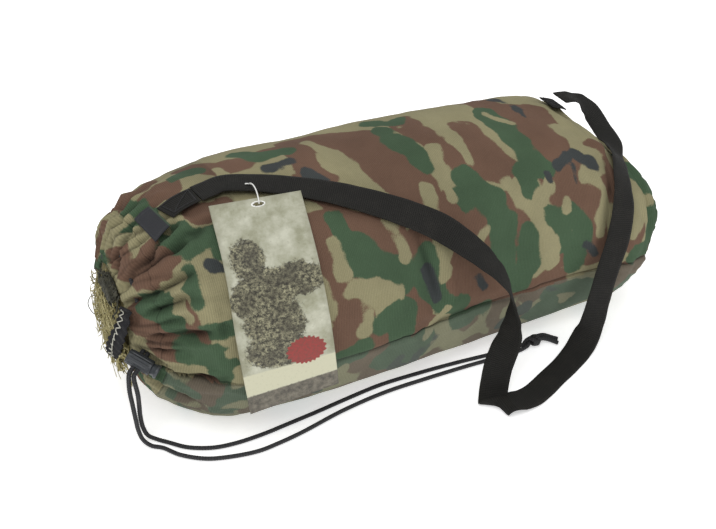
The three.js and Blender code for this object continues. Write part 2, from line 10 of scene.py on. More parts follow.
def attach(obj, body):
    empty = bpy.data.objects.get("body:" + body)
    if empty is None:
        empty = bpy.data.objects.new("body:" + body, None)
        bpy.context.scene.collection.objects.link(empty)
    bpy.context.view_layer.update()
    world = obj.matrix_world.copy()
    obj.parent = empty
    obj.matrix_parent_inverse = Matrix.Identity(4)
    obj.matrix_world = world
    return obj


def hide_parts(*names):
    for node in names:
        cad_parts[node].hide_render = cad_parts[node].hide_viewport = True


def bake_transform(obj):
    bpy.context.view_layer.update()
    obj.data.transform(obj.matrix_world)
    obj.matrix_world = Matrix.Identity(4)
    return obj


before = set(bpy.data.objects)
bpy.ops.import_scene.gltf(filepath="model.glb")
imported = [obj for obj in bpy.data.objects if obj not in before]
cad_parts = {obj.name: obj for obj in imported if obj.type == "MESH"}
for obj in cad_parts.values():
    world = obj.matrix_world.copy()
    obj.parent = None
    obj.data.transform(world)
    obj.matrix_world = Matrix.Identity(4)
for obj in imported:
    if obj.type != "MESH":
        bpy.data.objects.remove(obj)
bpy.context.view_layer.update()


MM = 0.001
V = lambda *p: np.array(p, float)
unit = lambda v: v / np.linalg.norm(v)

# ------------------------------------------------------------------ camera
cam = bpy.data.objects.new("camera", bpy.data.cameras.new("camera"))
bpy.context.scene.collection.objects.link(cam)
cam.data.lens, cam.data.sensor_width = 70.39, 36.0
cam.location = Vector((-0.4814, -0.9842, 0.7233))
_a, _e = math.radians(-25), math.radians(31)
_back = Vector((math.sin(_a) * math.cos(_e), -math.cos(_a) * math.cos(_e), math.sin(_e)))
cam.rotation_mode = "QUATERNION"
cam.rotation_quaternion = (-_back).to_track_quat("-Z", "Y")
cam.data.clip_start, cam.data.clip_end = 0.05, 20
bpy.context.scene.camera = cam


# ------------------------------------------------------------------ curves and meshes
def catmull(points, u, closed=False):
    """Centripetal Catmull-Rom point at u in 0..1, with the knots evenly spaced in u."""
    P = [np.array(p, float) for p in points]
    n = len(P) - 1
    s = min(max(u, 0.0), 1.0) * n
    i = min(int(math.floor(s)), n - 1)
    t = s - i
    p1, p2 = P[i], P[i + 1]
    p0 = P[i - 1] if i > 0 else 2 * P[0] - P[1]
    p3 = P[i + 2] if i + 2 <= n else 2 * P[n] - P[n - 1]
    d = [max(float(((b - a) ** 2).sum()) ** 0.25, 1e-4) for a, b in ((p0, p1), (p1, p2), (p2, p3))]
    t1 = ((p1 - p0) / d[0] - (p2 - p0) / (d[0] + d[1]) + (p2 - p1) / d[1]) * d[1]
    t2 = ((p2 - p1) / d[1] - (p3 - p1) / (d[1] + d[2]) + (p3 - p2) / d[2]) * d[1]
    a, b = 2 * p1 - 2 * p2 + t1 + t2, -3 * p1 + 3 * p2 - 2 * t1 - t2
    return p1 + t1 * t + b * t * t + a * t * t * t


def smooth_path(points, step):
    """Points evenly spaced by step mm along a smooth route, and its length."""
    fine = np.array([catmull(points, i / 800) for i in range(801)])
    s = np.concatenate([[0], np.cumsum(np.linalg.norm(np.diff(fine, axis=0), axis=1))])
    n = max(int(s[-1] / step), 4)
    at = np.linspace(0, s[-1], n + 1)
    return np.stack([np.interp(at, s, fine[:, k]) for k in range(3)], 1), float(s[-1])


def mesh(name, verts_mm, faces, uv=None, attributes=(), smooth=True):
    me = bpy.data.meshes.new(name)
    me.from_pydata([tuple(v) for v in np.asarray(verts_mm) * MM], [], [tuple(int(i) for i in f) for f in faces])
    me.update()
    if uv is not None:
        layer = me.uv_layers.new(name="UVMap")
        loops = np.zeros(len(me.loops), np.int32)
        me.loops.foreach_get("vertex_index", loops)
        layer.data.foreach_set("uv", np.asarray(uv, np.float32)[loops].ravel())
    for key, values in attributes:
        me.attributes.new(key, "FLOAT", "POINT").data.foreach_set("value", np.asarray(values, np.float32))
    me.polygons.foreach_set("use_smooth", [smooth] * len(me.polygons))
    ob = bpy.data.objects.new(name, me)
    bpy.context.scene.collection.objects.link(ob)
    return ob


def frames(path):
    """Parallel-transported side vectors along a path."""
    t = np.gradient(path, axis=0)
    t /= np.linalg.norm(t, axis=1)[:, None] + 1e-12
    n = np.zeros_like(t)
    v = np.cross(t[0], [0, 0, 1.0])
    if np.linalg.norm(v) < 0.1:
        v = np.cross(t[0], [0, 1.0, 0])
    v = unit(v)
    for i in range(len(t)):
        v = v - (v @ t[i]) * t[i]
        v = unit(v)
        n[i] = v
    return t, n, np.cross(t, n)


def tube_mesh(path, radius, sides, wave=None, taper=0):
    """Vertices, faces and uv of a closed tube; wave(s, angle) changes the radius along it."""
    t, n, b = frames(path)
    s = np.concatenate([[0], np.cumsum(np.linalg.norm(np.diff(path, axis=0), axis=1))])
    a = np.arange(sides) / sides * 2 * np.pi
    r = np.full((len(path), sides), float(radius))
    if wave is not None:
        r = r + wave(s[:, None], a[None, :])
    if taper:
        r *= np.clip(np.minimum(s, s[-1] - s) / taper + 0.55, 0, 1)[:, None]
    v = path[:, None, :] + r[..., None] * (np.cos(a)[None, :, None] * n[:, None, :] + np.sin(a)[None, :, None] * b[:, None, :])
    uv = np.stack(np.broadcast_arrays(s[:, None] * MM, (a / 2 / np.pi)[None, :]), -1)
    V_, F = v.reshape(-1, 3), []
    for i in range(len(path) - 1):
        for j in range(sides):
            k = (j + 1) % sides
            F.append((i * sides + j, i * sides + k, (i + 1) * sides + k, (i + 1) * sides + j))
    m = len(V_)
    V_ = np.concatenate([V_, [path[0], path[-1]]])
    uvs = np.concatenate([uv.reshape(-1, 2), [[0, 0], [s[-1] * MM, 0]]])
    for j in range(sides):
        k = (j + 1) % sides
        F.append((m, k, j))
        F.append((m + 1, (len(path) - 1) * sides + j, (len(path) - 1) * sides + k))
    return V_, F, uvs


def ribbon_mesh(rows, thickness, columns=8, crown=0.0, edge=0.35):
    """Closed band from rows (left, right, normal-left, normal-right); uv is metres along and across."""
    L = np.array([r[0] for r in rows]); R = np.array([r[1] for r in rows])
    NL = np.array([r[2] for r in rows]); NR = np.array([r[3] for r in rows])
    mid = (L + R) / 2
    s = np.concatenate([[0], np.cumsum(np.linalg.norm(np.diff(mid, axis=0), axis=1))])
    c = np.linspace(0, 1, columns + 1)
    lay = []
    for side in (1, -1):
        P = L[:, None] * (1 - c)[None, :, None] + R[:, None] * c[None, :, None]
        N = NL[:, None] * (1 - c)[None, :, None] + NR[:, None] * c[None, :, None]
        N /= np.linalg.norm(N, axis=2)[..., None]
        h = thickness / 2 * np.where((c < 1e-6) | (c > 1 - 1e-6), edge, 1.0)
        lay.append(P + N * (side * h)[None, :, None])
    n, m = len(rows), columns + 1
    V_ = np.concatenate([lay[0].reshape(-1, 3), lay[1].reshape(-1, 3)])
    w = np.linalg.norm(R - L, axis=1).mean()
    one = np.stack(np.broadcast_arrays(s[:, None] * MM, (c * w)[None, :] * MM), -1).reshape(-1, 2)
    uv = np.concatenate([one, one])
    F, o = [], n * m
    for i in range(n - 1):
        for j in range(m - 1):
            a, b, cc, d = i * m + j, i * m + j + 1, (i + 1) * m + j + 1, (i + 1) * m + j
            F.append((a, b, cc, d)); F.append((o + a, o + d, o + cc, o + b))
        a, d = i * m, (i + 1) * m
        F.append((a, d, o + d, o + a))
        a, d = i * m + m - 1, (i + 1) * m + m - 1
        F.append((d, a, o + a, o + d))
    for j in range(m - 1):
        F.append((j + 1, j, o + j, o + j + 1))
        k = (n - 1) * m + j
        F.append((k, k + 1, o + k + 1, o + k))
    return V_, F, uv, float(s[-1])


# ------------------------------------------------------------------ the bag's form, in mm
POWER = 2.3
SECTIONS = np.array([
    (-249, 84, 98, 49, -4), (-246, 101, 112, 40, -4), (-240, 127, 135, 27, -3), (-230, 151, 163, 15, -3),
    (-216, 171, 191, 4, -4), (-198, 184.5, 218, -3, -8), (-178, 192, 235, -6, -8), (-150, 196.5, 243, -6, -7),
    (-115, 198, 244.5, -6, -6), (-70, 198.8, 241.5, -6, -4), (-20, 200.7, 240, -6, -1), (35, 202, 227, -6, 0.5),
    (90, 202, 214, -6, 2.5), (140, 197, 208, -6, 5), (172, 190, 218, -5, 12), (192, 180, 226, -2, 15),
    (208, 160, 219, 2, 11), (222, 137, 202, 9, 7.5), (235, 120, 175, 17, 5), (243, 101, 158, 32, 0), (248.5, 78, 138, 51, -6),
], float)
TIP = V(250.5, -5, 92)


def section(x):
    return [np.interp(x, SECTIONS[:, 0], SECTIONS[:, k]) for k in (1, 2, 3, 4)]


def surface(x, angle, inset=0.0):
    h, w, zb, ys = section(x)
    c, s, e = np.cos(angle), np.sin(angle), 2 / POWER
    y = ys + np.sign(c) * np.abs(c) ** e * (w / 2 - inset)
    z = zb + h / 2 + np.sign(s) * np.abs(s) ** e * (h / 2 - inset)
    x, y, z = np.broadcast_arrays(x, y, z)
    return np.stack([x, y, np.maximum(z, np.where(np.asarray(inset) > 0, inset, 0))], -1)


def surface_normal(p):
    def f(q):
        h, w, zb, ys = section(q[0])
        return abs((q[1] - ys) / (w / 2)) ** POWER + abs((q[2] - zb - h / 2) / (h / 2)) ** POWER
    e = 0.5
    return unit(V(f(p + V(8, 0, 0)) - f(p - V(8, 0, 0)), (f(p + V(0, e, 0)) - f(p - V(0, e, 0))) * 16, (f(p + V(0, 0, e)) - f(p - V(0, 0, e))) * 16))


def on_surface(p, lift):
    p = np.array(p, float)
    h, w, zb, ys = section(p[0])
    c = V(p[0], ys, zb + h / 2)
    d = p - c
    q = c + d / (abs(d[1] / (w / 2)) ** POWER + abs(d[2] / (h / 2)) ** POWER) ** (1 / POWER)
    return q + surface_normal(q) * lift


# ------------------------------------------------------------------ draw cord and lock
LOCK_AXIS = unit(V(0.69, -0.56, -0.455))
_q = V(-0.66, -0.60, -0.45)
CORD_DIR = unit(_q - (_q @ LOCK_AXIS) * LOCK_AXIS)
CH_X, CH_IN = -242.3, 5.2
EXIT_ANGLE = math.atan2(-0.13, -0.99)
LOCK_C = surface(CH_X, EXIT_ANGLE) + CORD_DIR * (6.5 + 3.8)
along = lambda d, side: LOCK_C + CORD_DIR * d + LOCK_AXIS * side
START = -(6.5 + 3.8) - 1.5
STRAND_A = [along(START, -2.15), along(-3, -2.15), along(4, -2.15), along(9, -2.15), along(13, -2.15),
            (-262.2, -79.4, 57), (-261.4, -80.8, 44), (-260.2, -81.6, 30), (-258.6, -81.8, 16), (-255.6, -83, 6.5), (-250.6, -87.5, 2.6), (-242.8, -93.5, 2.1), (-233, -108, 2.1),
            (-216, -121.5, 2.1), (-199.3, -127.2, 2.1), (-173.7, -130.6, 2.1), (-152.1, -127.6, 2.1), (-130.1, -122.5, 2.1), (-88.8, -110.1, 2.1),
            (-44.8, -101.5, 2.1), (-0.4, -98.4, 2.1), (40, -96.9, 2.1), (75, -96.6, 2.1), (96, -95.6, 2.3), (102.5, -94.6, 3.4)]
STRAND_B = [along(START, 2.15), along(-3, 2.15), along(4, 2.15), along(9, 2.15), along(13, 2.15),
            (-257, -84.4, 54.5), (-255.8, -80.4, 41), (-255.3, -78.6, 28), (-253.6, -77.8, 15), (-250.2, -78.2, 6.5), (-243.6, -81.5, 2.6), (-236.5, -88.5, 2.1), (-224, -101.5, 2.1),
            (-206, -110.5, 2.1), (-188, -113, 2.1), (-163, -111.5, 2.1), (-136, -107, 2.1), (-108, -102, 2.1), (-80, -96.3, 2.1),
            (-44, -90, 2.1), (-5, -88.2, 2.1), (32, -88.2, 2.1), (66, -89.6, 2.1), (92, -90.4, 2.3), (102, -90.4, 3.4)]
braid = lambda s, a: 0.2 * np.sin(3 * a + s * 1.35) * np.sin(3 * a - s * 1.35)
cords = []
for name, pts in (("draw_cord_a", STRAND_A), ("draw_cord_b", STRAND_B)):
    path, length = smooth_path(pts, 1.1)
    v, f, uv = tube_mesh(path, 1.85, 12, braid)
    cords.append((mesh(name, v, f, uv), path, length))
# knot: the two cords wound round each other, and their tails
knot_turns = []
for i in range(70):
    t = i / 69 * 2 * math.pi * 1.75
    knot_turns.append((108.5 + 7.2 * i / 69 + 1.2 * math.cos(2.2 * t), -92 + 3.6 * math.cos(t), 6.0 + 2.6 * math.sin(t)))
knot_parts = [
    [(102.4, -94.6, 3.4), (105, -93.5, 4.6), *knot_turns[::5], (119, -91.5, 5.6), (124, -92.6, 4.8), (129, -95, 3.0), (133, -99.8, 2.1)],
    [(102, -90.4, 3.4), (104.6, -89.2, 5.2), (107, -90, 7.6), (111, -94.4, 7.9), (114, -95.6, 4.6), (111.5, -92, 2.4), (109, -88.6, 4.2), (113, -87.2, 6.8), (118, -87, 6.0), (125, -86.6, 5.0), (131.5, -89.8, 2.8), (136, -94.2, 2.1)],
]
KV, KF, KU = [], [], []
count = 0
for pts in knot_parts:
    path, _ = smooth_path(pts, 1.1)
    v, f, uv = tube_mesh(path, 1.9, 12, braid)
    v[:, 2] = np.maximum(v[:, 2], 0.15)
    KV.append(v); KU.append(uv); KF += [tuple(i + count for i in q) for q in f]
    count += len(v)
knot = mesh("draw_cord_knot_tied", np.concatenate(KV), KF, np.concatenate(KU))
ring = [surface(CH_X, EXIT_ANGLE + 0.16 + (math.pi * 2 - 0.32) * i / 60, CH_IN) for i in range(61)]
rp, _ = smooth_path(ring, 2.5)
v, f, uv = tube_mesh(rp, 1.7, 10)
ring_cord = mesh("draw_cord_inside_hem", v, f, uv)

# ------------------------------------------------------------------ camouflage layout, mm: (radius, route on the cloth)
BROWN = [
    (5, [(-152,-84,176),(-148,-112,145)]),
    (4, [(-125,-126,95),(-132,-128,70)]),
    (8, [(-246,36,124),(-238,40,140)]),
    (7, [(-218,36,168),(-205,34,174)]),
    (19, [(-46,23,192),(-26,10,194),(-14,-21,194),(-9,-50,189),(-6,-70,181)]),
    (9, [(-74,-57,186),(-81,-36,190)]),
    (7, [(-79,-5,193),(-74,-32,191)]),
    (6, [(30,28,194),(35,-15,195),(40,-47,189),(52,-62,183)]),
    (10, [(71,-16,195),(74,-43,190),(80,-65,179)]),
    (19, [(144,-1,190),(145,-36,185),(145,-60,173),(137,-77,160)]),
    (11, [(148,-83,149),(162,-88,138),(161,-95,117),(160,-98,93)]),
    (4, [(190,-52,165),(189,-69,155),(189,-81,143)]),
    (11, [(20,-90,165),(40,-96,154),(51,-101,143)]),
    (7, [(51,-107,125),(63,-102,137)]),
    # this brown stroke is partly painted shadow: it also fills the shaded region on the cloth beneath the hanging strap
    (17, [(35,-111,119),(29,-114,99),(49,-110,87)]),
    (7, [(77,-92,153),(81,-100,135),(79,-105,113)]),
    (11, [(-75,-87,172),(-56,-94,165),(-38,-104,154)]),
    (7, [(-18,-105,152),(-23,-118,121),(-23,-119,72)]),
    (9, [(-97,-83,175),(-99,-103,160),(-95,-116,141),(-91,-123,120),(-86,-126,98),(-97,-126,82)]),
    (7, [(-64,-122,70),(-40,-120,69),(-16,-118,69)]),
    (7, [(98,-101,67),(126,-98,67)]),
    (5, [(28,-113,79),(40,-107,59)]),
    (11, [(-230,-57,151),(-214,-60,164)]),
    (8, [(-217,-93,122),(-213,-101,107)]),
    (9, [(-204,-106,55),(-185,-116,52)]),
    (8, [(-230,-83,101),(-217,-98,97)]),
    (7, [(-164,38,183),(-147,17,189),(-125,17,190)]),
    (7, [(-234,49,146),(-219,41,166)]),
    (7, [(-209,8,177),(-192,6,182)]),
    (8, [(-95,23,191),(-75,21,191),(-77,-6,193)]),
    (4, [(216,-91,105),(207,-98,92)]),
    (5, [(198,-94,58),(221,-92,62)]),
    (8, [(-180,-39,183),(-168,-40,185)]),
    (6, [(-71,39,188)]),
    (9, [(115,49,187),(123,18,192),(127,-11,191)]),
    (5, [(-243,-11,147),(-242,-35,144)]),
    (6, [(-243,-62,111),(-233,-77,113)]),
    (6, [(127,-100,90),(163,-97,86)]),
]
GREEN = [
    (9, [(-128,-88,172),(-130,-115,140),(-142,-124,112)]),
    (8, [(-160,-120,120),(-158,-126,85)]),
    (6, [(-250,20,119),(-249,28,110)]),
    (5, [(-225,21,167),(-218,7,173)]),
    (8, [(-119,37,187),(-105,16,191),(-84,17,191)]),
    (8, [(-179,19,184),(-162,22,187)]),
    (7, [(-232,-6,164),(-214,-12,175)]),
    (8, [(6,20,194),(8,-12,195),(12,-39,192),(19,-51,188)]),
    (11, [(110,5,194),(112,-29,191),(115,-54,182),(118,-68,172)]),
    (7, [(101,-72,171),(101,-85,158)]),
    (12, [(48,-72,177),(53,-81,169),(64,-87,162)]),
    (8, [(64,-87,162),(70,-98,143),(69,-106,119),(77,-106,88)]),
    (7, [(36,-81,171),(40,-87,165)]),
    (8, [(115,-94,137),(128,-99,116),(128,-100,104)]),
    (9, [(140,-93,133),(150,-96,115),(144,-99,93),(144,-98,78)]),
    (9, [(93,-101,123),(94,-104,98),(89,-104,79)]),
    (15, [(-72,-106,153),(-52,-113,142),(-36,-118,127)]),
    (9, [(-11,-110,140),(-12,-118,116),(2,-117,90),(22,-114,80)]),
    (12, [(-57,-124,92),(-40,-122,96),(-40,-121,74)]),
    (7, [(-78,-123,68),(-96,-123,63)]),
    (7, [(-83,-81,176),(-79,-96,164)]),
    (10, [(-177,-67,177),(-197,-71,169),(-209,-53,170)]),
    (6, [(-206,-86,152),(-204,-99,138)]),
    (5, [(-203,-109,116),(-183,-119,121)]),
    (11, [(-216,-100,93),(-201,-114,94),(-196,-117,79)]),
    (8, [(-231,-77,58),(-215,-95,55)]),
    (7, [(-236,-69,124),(-225,-84,124),(-221,-91,118)]),
    (13, [(228,-39,136),(243,-56,121)]),
    (8, [(246,-76,77),(214,-96,76)]),
    (6, [(120,-96,56),(171,-90,50)]),
    (6, [(51,-106,62),(23,-110,62)]),
    (8, [(-162,-81,173),(-174,-85,169)]),
    (5, [(-249,42,102),(-249,2,133)]),
    (4, [(-218,-85,138),(-236,-68,127)]),
    (9, [(25,34,193),(8,41,191)]),
]
KHAKI = [
    (6, [(-60,25,191),(-50,-4,194),(-45,-32,192),(-41,-59,185),(-33,-77,177)]),
    (5, [(-38,-87,170),(-33,-100,159),(-31,-110,145)]),
    (6, [(8,-71,180),(2,-89,167),(3,-97,158)]),
    (7, [(61,36,192),(54,-13,195),(57,-45,190),(60,-57,185)]),
    (4, [(74,25,195),(88,12,195)]),
    (3, [(72,5,196),(80,-10,195)]),
    (6, [(29,-35,193),(28,-63,183),(27,-83,170)]),
    (9, [(168,-26,182),(170,-55,170),(184,-63,161)]),
    (7, [(184,-63,161),(164,-76,156)]),
    (6, [(179,-80,146),(175,-92,125),(170,-96,108)]),
    (7, [(119,-82,159),(104,-91,147),(105,-98,131),(115,-101,112),(119,-101,88)]),
    (5, [(82,-78,169),(89,-89,155),(98,-94,142)]),
    (8, [(-80,-121,127),(-59,-121,122),(-43,-121,116)]),
    (6, [(-73,-123,114),(-79,-125,89)]),
    (4, [(-86,-114,142),(-94,-101,161)]),
    (5, [(-104,-116,142),(-104,-123,126),(-101,-126,106)]),
    (4, [(6,-108,140),(6,-116,115)]),
    (13, [(221,-82,115),(205,-94,109)]),
    (7, [(-186,-112,134),(-193,-104,142),(-175,-102,155)]),
    (4, [(-210,-81,152),(-216,-90,131),(-212,-99,124)]),
    (4, [(-193,-119,98),(-175,-125,97)]),
    (4, [(51,-101,143),(41,-107,131)]),
    (3, [(112,5,194),(122,-14,192)]),
    (3, [(26,19,195)]),
    (4, [(-145,16,190),(-144,2,190)]),
    (5, [(-241,-5,152),(-227,-19,167),(-215,-40,171)]),
    (5, [(-183,-121,66),(-186,-121,79)]),
    (4, [(-190,-108,40),(-178,-114,42)]),
    (4, [(-224,-75,141),(-210,-86,147)]),
    (4, [(0,-117,74),(7,-116,82)]),
    (5, [(88,-100,61),(76,-99,51)]),
    (5, [(-9,-112,54),(-5,-115,64)]),
    (4, [(-221,-64,24),(-209,-88,32)]),
    (4, [(137,-92,136),(137,-87,147)]),
    (5, [(-240,44,138),(-234,36,155)]),
    (3, [(-174,-22,186),(-166,-24,187)]),
]
BLACK = [
    (7, [(-108,-7,192),(-91,-3,192)]),
    (8, [(-79,-23,192),(-75,-35,191)]),
    (6, [(137,-68,170),(159,-59,171),(176,-66,161)]),
    (4, [(155,-69,164),(152,-78,155)]),
    (3, [(121,-74,166),(122,-78,162)]),
    (5, [(-11,-115,127),(-4,-118,98)]),
    (5, [(-188,-89,161),(-181,-96,158)]),
    (5, [(155,-98,98),(165,-97,87)]),
    (3, [(61,-55,186),(66,-60,183)]),
    (4, [(136,45,186),(147,24,189),(140,-1,191)]),
    (4, [(39,-112,101),(47,-111,88)]),
    (4, [(119,-97,61),(137,-93,52)]),
    (4, [(-247,35,127),(-249,10,125)]),
]
CREASES = [
    (5, 3.2, [(-243,-59,94),(-233,-79,103),(-210,-103,110),(-191,-117,117)]),
    (5, 2.8, [(-243,-65,88),(-231,-83,91),(-217,-98,94)]),
    (6, 3.2, [(-240,-59,78),(-238,-73,81),(-233,-80,78)]),
    (5, 3.2, [(-237,-72,69),(-225,-87,67),(-210,-103,67),(-189,-119,70)]),
    (3.6, 3, [(-243,-56,109),(-231,-77,125),(-207,-95,140)]),
    (4.2, 3, [(-245,-52,121),(-233,-68,134),(-221,-77,144),(-200,-86,158)]),
    (4.2, 3.2, [(-246,-43,131),(-230,-55,153),(-212,-60,165),(-189,-62,175)]),
    (5, 3.4, [(-204,-42,176),(-217,-46,168),(-229,-49,158),(-245,-41,133)]),
    (3.2, 3, [(-247,-26,135),(-242,-18,150),(-227,-8,168),(-204,-2,179)]),
    (3.2, 3, [(-249,3,129),(-243,19,145),(-227,37,161)]),
    (3.5, 3, [(-234,-70,53),(-221,-80,40),(-205,-95,35)]),
    (3, 2.6, [(-240,-64,58),(-231,-74,50),(-220,-81,39)]),
    (2.4, 2.4, [(-248,-16,134),(-244,-1,146),(-228,10,166),(-204,23,177)]),
    (3, 2.6, [(-242,-68,94),(-227,-87,99),(-215,-100,101)]),
    (2.6, 2.6, [(-244,-62,105),(-231,-80,114),(-213,-97,123)]),
    (2.2, 4, [(-180,-55,180),(-195,-56,175),(-211,-58,167)]),
    (2, 5, [(188,9,179),(195,-31,170),(206,-53,152)]),
    (2.4, 5, [(191,-62,159),(187,-83,140),(177,-97,98)]),
    (1.8, 6, [(-15,-103,153),(-10,-114,132),(-2,-118,95)]),
    (1.6, 6, [(88,-100,61),(32,-111,70),(-10,-117,69)]),
]

# ------------------------------------------------------------------ bag cloth
rng = np.random.RandomState(7)
NU = 440
ANG = np.arange(NU) / NU * 2 * np.pi - np.pi / 2          # starts underneath
xs_mid = np.linspace(-228, 208, 172)
ROWS = [(x, 0.0) for x in np.concatenate([np.linspace(-249, -230, 13), xs_mid, np.linspace(210.5, 248.5, 22)])]
HEM_ROWS = [(-240, 11.0), (-246, 10.5), (-249, 8.2), (-250.4, 5.6), (-250.8, 3.2), (-250.3, 1.2)]
ALL = HEM_ROWS + ROWS
grid = np.stack([surface(x, ANG, i) if i == 0 else np.stack([np.full(NU, x), *surface(max(x, -249), ANG, i).T[1:]], -1) for x, i in ALL])
# end of the bag: rings shrinking to the tip, slightly domed and puckered
cap_n = 13
last = grid[-1]
for k in range(1, cap_n + 1):
    t = k / (cap_n + 0.6)
    ringp = last * (1 - t) + TIP * t
    ringp[:, 0] = 248.5 + 3.2 * math.sin(t * math.pi / 2)
    grid = np.concatenate([grid, ringp[None]])
NR = len(grid)
rest_grid = grid.copy()


def normals_of(g):
    du = np.roll(g, -1, axis=1) - np.roll(g, 1, axis=1)
    dv = np.gradient(g, axis=0)
    n = np.cross(du, dv)
    n /= np.linalg.norm(n, axis=2)[..., None] + 1e-9
    out = g - np.array([0, 0, 95.0]) - g * np.array([1, 0, 0])
    mid = NR // 2
    return n if (n[mid] * out[mid]).sum() > 0 else -n


def segment_distance(P, route):
    """Distance from each point to a route of points."""
    best = np.full(len(P), 1e9)
    R = [np.array(p, float) for p in route]
    if len(R) == 1:
        return np.linalg.norm(P - R[0], axis=1)
    for a, b in zip(R[:-1], R[1:]):
        d = b - a
        t = np.clip(((P - a) @ d) / max(d @ d, 1e-9), 0, 1)
        best = np.minimum(best, np.linalg.norm(P - a - t[:, None] * d, axis=1))
    return best


def waves(P, seed, count, low, high, amount):
    """Smooth seeded noise in space: wavelengths in mm."""
    r = np.random.RandomState(seed)
    out = np.zeros(len(P))
    for _ in range(count):
        d = unit(r.normal(size=3))
        k = 2 * np.pi / r.uniform(low, high)
        out += np.sin(P @ d * k + r.uniform(0, 6.28)) * np.cos(P @ unit(r.normal(size=3)) * k * 0.7 + r.uniform(0, 6.28))
    return out * amount / math.sqrt(count)


# A coarse copy of the cloth is dropped on the stuffing by simulation and its sag is passed on.
def simulate_sag():
    cu, cv = NU // 5, 60
    iu, iv = np.arange(cu) * 5, np.linspace(6, NR - 1 - cap_n, cv).astype(int)
    coarse = rest_grid[iv][:, iu]
    nrm = normals_of(rest_grid)[iv][:, iu]
    pts = (coarse + nrm * 1.0).reshape(-1, 3)
    pts[:, 2] = np.maximum(pts[:, 2], 1.2)
    F = [(i * cu + j, i * cu + (j + 1) % cu, (i + 1) * cu + (j + 1) % cu, (i + 1) * cu + j) for i in range(cv - 1) for j in range(cu)]
    cloth = mesh("cloth_tmp", pts, F)
    lump = waves(coarse.reshape(-1, 3), 21, 14, 60, 150, 2.6)
    core = mesh("core_tmp", (coarse - nrm * 4.0).reshape(-1, 3) + nrm.reshape(-1, 3) * lump[:, None], F)
    core.modifiers.new("c", "COLLISION")
    core.collision.thickness_outer = 0.001
    group = cloth.vertex_groups.new(name="pin")
    group.add([i * cu + j for i in (0, 1, cv - 1) for j in range(cu)], 1.0, "REPLACE")
    m = cloth.modifiers.new("Cloth", "CLOTH")
    s = m.settings
    s.quality, s.mass, s.vertex_group_mass = 6, 0.35, "pin"
    s.tension_stiffness = s.compression_stiffness = 18
    s.bending_stiffness, s.air_damping = 0.4, 3.0
    s.shrink_min = -0.035
    m.collision_settings.distance_min = 0.001
    m.collision_settings.collision_quality = 2
    m.point_cache.frame_start, m.point_cache.frame_end = 1, 26
    scene = bpy.context.scene
    for fr in range(1, 27):
        scene.frame_set(fr)
    ev = cloth.evaluated_get(bpy.context.evaluated_depsgraph_get())
    co = np.zeros(len(pts) * 3)
    ev.data.vertices.foreach_get("co", co)
    move = (co.reshape(-1, 3) / MM - pts).reshape(cv, cu, 3)
    scene.frame_set(1)
    for o in (cloth, core):
        data = o.data
        bpy.data.objects.remove(o)
        bpy.data.meshes.remove(data)
    if not np.isfinite(move).all():
        return None
    return iv, iu, move


def sag_field():
    got = simulate_sag()
    field = np.zeros((NR, NU))
    if got is None:
        return field
    iv, iu, move = got
    nrm = normals_of(rest_grid)[iv][:, iu]
    d = np.clip((move * nrm).sum(2), -4.5, 4.5)
    for _ in range(1):
        d = (d + 0.25 * (np.roll(d, 1, 1) + np.roll(d, -1, 1))) / 1.5
    rows = np.stack([np.interp(np.arange(NU), np.append(iu, NU), np.append(r, r[0])) for r in d])
    for j in range(NU):
        field[:, j] = np.interp(np.arange(NR), iv, rows[:, j])
    field[: iv[0]] = 0
    return field


flat = rest_grid.reshape(-1, 3)
nrm = normals_of(rest_grid).reshape(-1, 3)
X = flat[:, 0]
ang = np.tile(ANG, (NR, 1)).reshape(-1)
in_hem = np.repeat(np.arange(NR) < len(HEM_ROWS), NU)
disp = sag_field().reshape(-1) * 0.8
disp += waves(flat, 3, 16, 90, 200, 0.9) + waves(flat, 4, 22, 28, 70, 0.42)
# gathered folds at the mouth: seeded all round, then the ones in plain sight
shade = np.zeros(len(flat))
front = (ang > math.pi * 0.62) | (ang < -math.pi * 0.28)
for k in range(34):
    a0 = -math.pi / 2 + (k + rng.uniform(-0.35, 0.35)) / 34 * 2 * math.pi
    reach, depth, drift = rng.uniform(34, 95), rng.uniform(2.4, 4.8), rng.uniform(-0.10, 0.10)
    t = np.clip((X + 250) / reach, 0, 1)
    da = (ang - a0 - drift * t + math.pi) % (2 * math.pi) - math.pi
    w = 0.032 + 0.03 * t
    seen = np.where(front, 0.4, 1.0)
    disp -= seen * depth * np.exp(-((da / w) ** 2)) * (1 - t) ** 0.8
    shade = np.maximum(shade, seen * np.exp(-((da / (0.6 * w)) ** 2)) * (1 - t) * 0.8)
    disp += seen * 0.55 * depth * np.exp(-(((np.abs(da) - 2.1 * w) / w) ** 2)) * (1 - t)
for depth, width, route in CREASES:
    near = segment_distance(flat, route)
    ends = np.clip(np.minimum(np.linalg.norm(flat - np.array(route[0], float), axis=1) + 8, np.linalg.norm(flat - np.array(route[-1], float), axis=1)) / 16, 0, 1)
    disp -= 1.9 * depth * np.exp(-near / (0.85 * width)) * ends
    disp += 0.85 * depth * np.exp(-(((near - 2.6 * width) / (1.2 * width)) ** 2)) * ends
    shade = np.maximum(shade, np.exp(-((near / (0.55 * width)) ** 2)) * ends * min(depth / 3.4, 1))
shade = np.maximum(shade, np.clip((-disp - 1.0) / 5.0, 0, 1) * 0.62 * (X < -150))
# puckers at the base end
for k in range(26):
    a0 = rng.uniform(-math.pi, math.pi)
    reach, depth = rng.uniform(16, 46), rng.uniform(0.5, 1.6)
    t = np.clip((251 - X) / reach, 0, 1)
    da = (ang - a0 + math.pi) % (2 * math.pi) - math.pi
    disp -= depth * np.exp(-((da / 0.05) ** 2)) * (1 - t) * np.clip((X - 150) / 40, 0, 1)
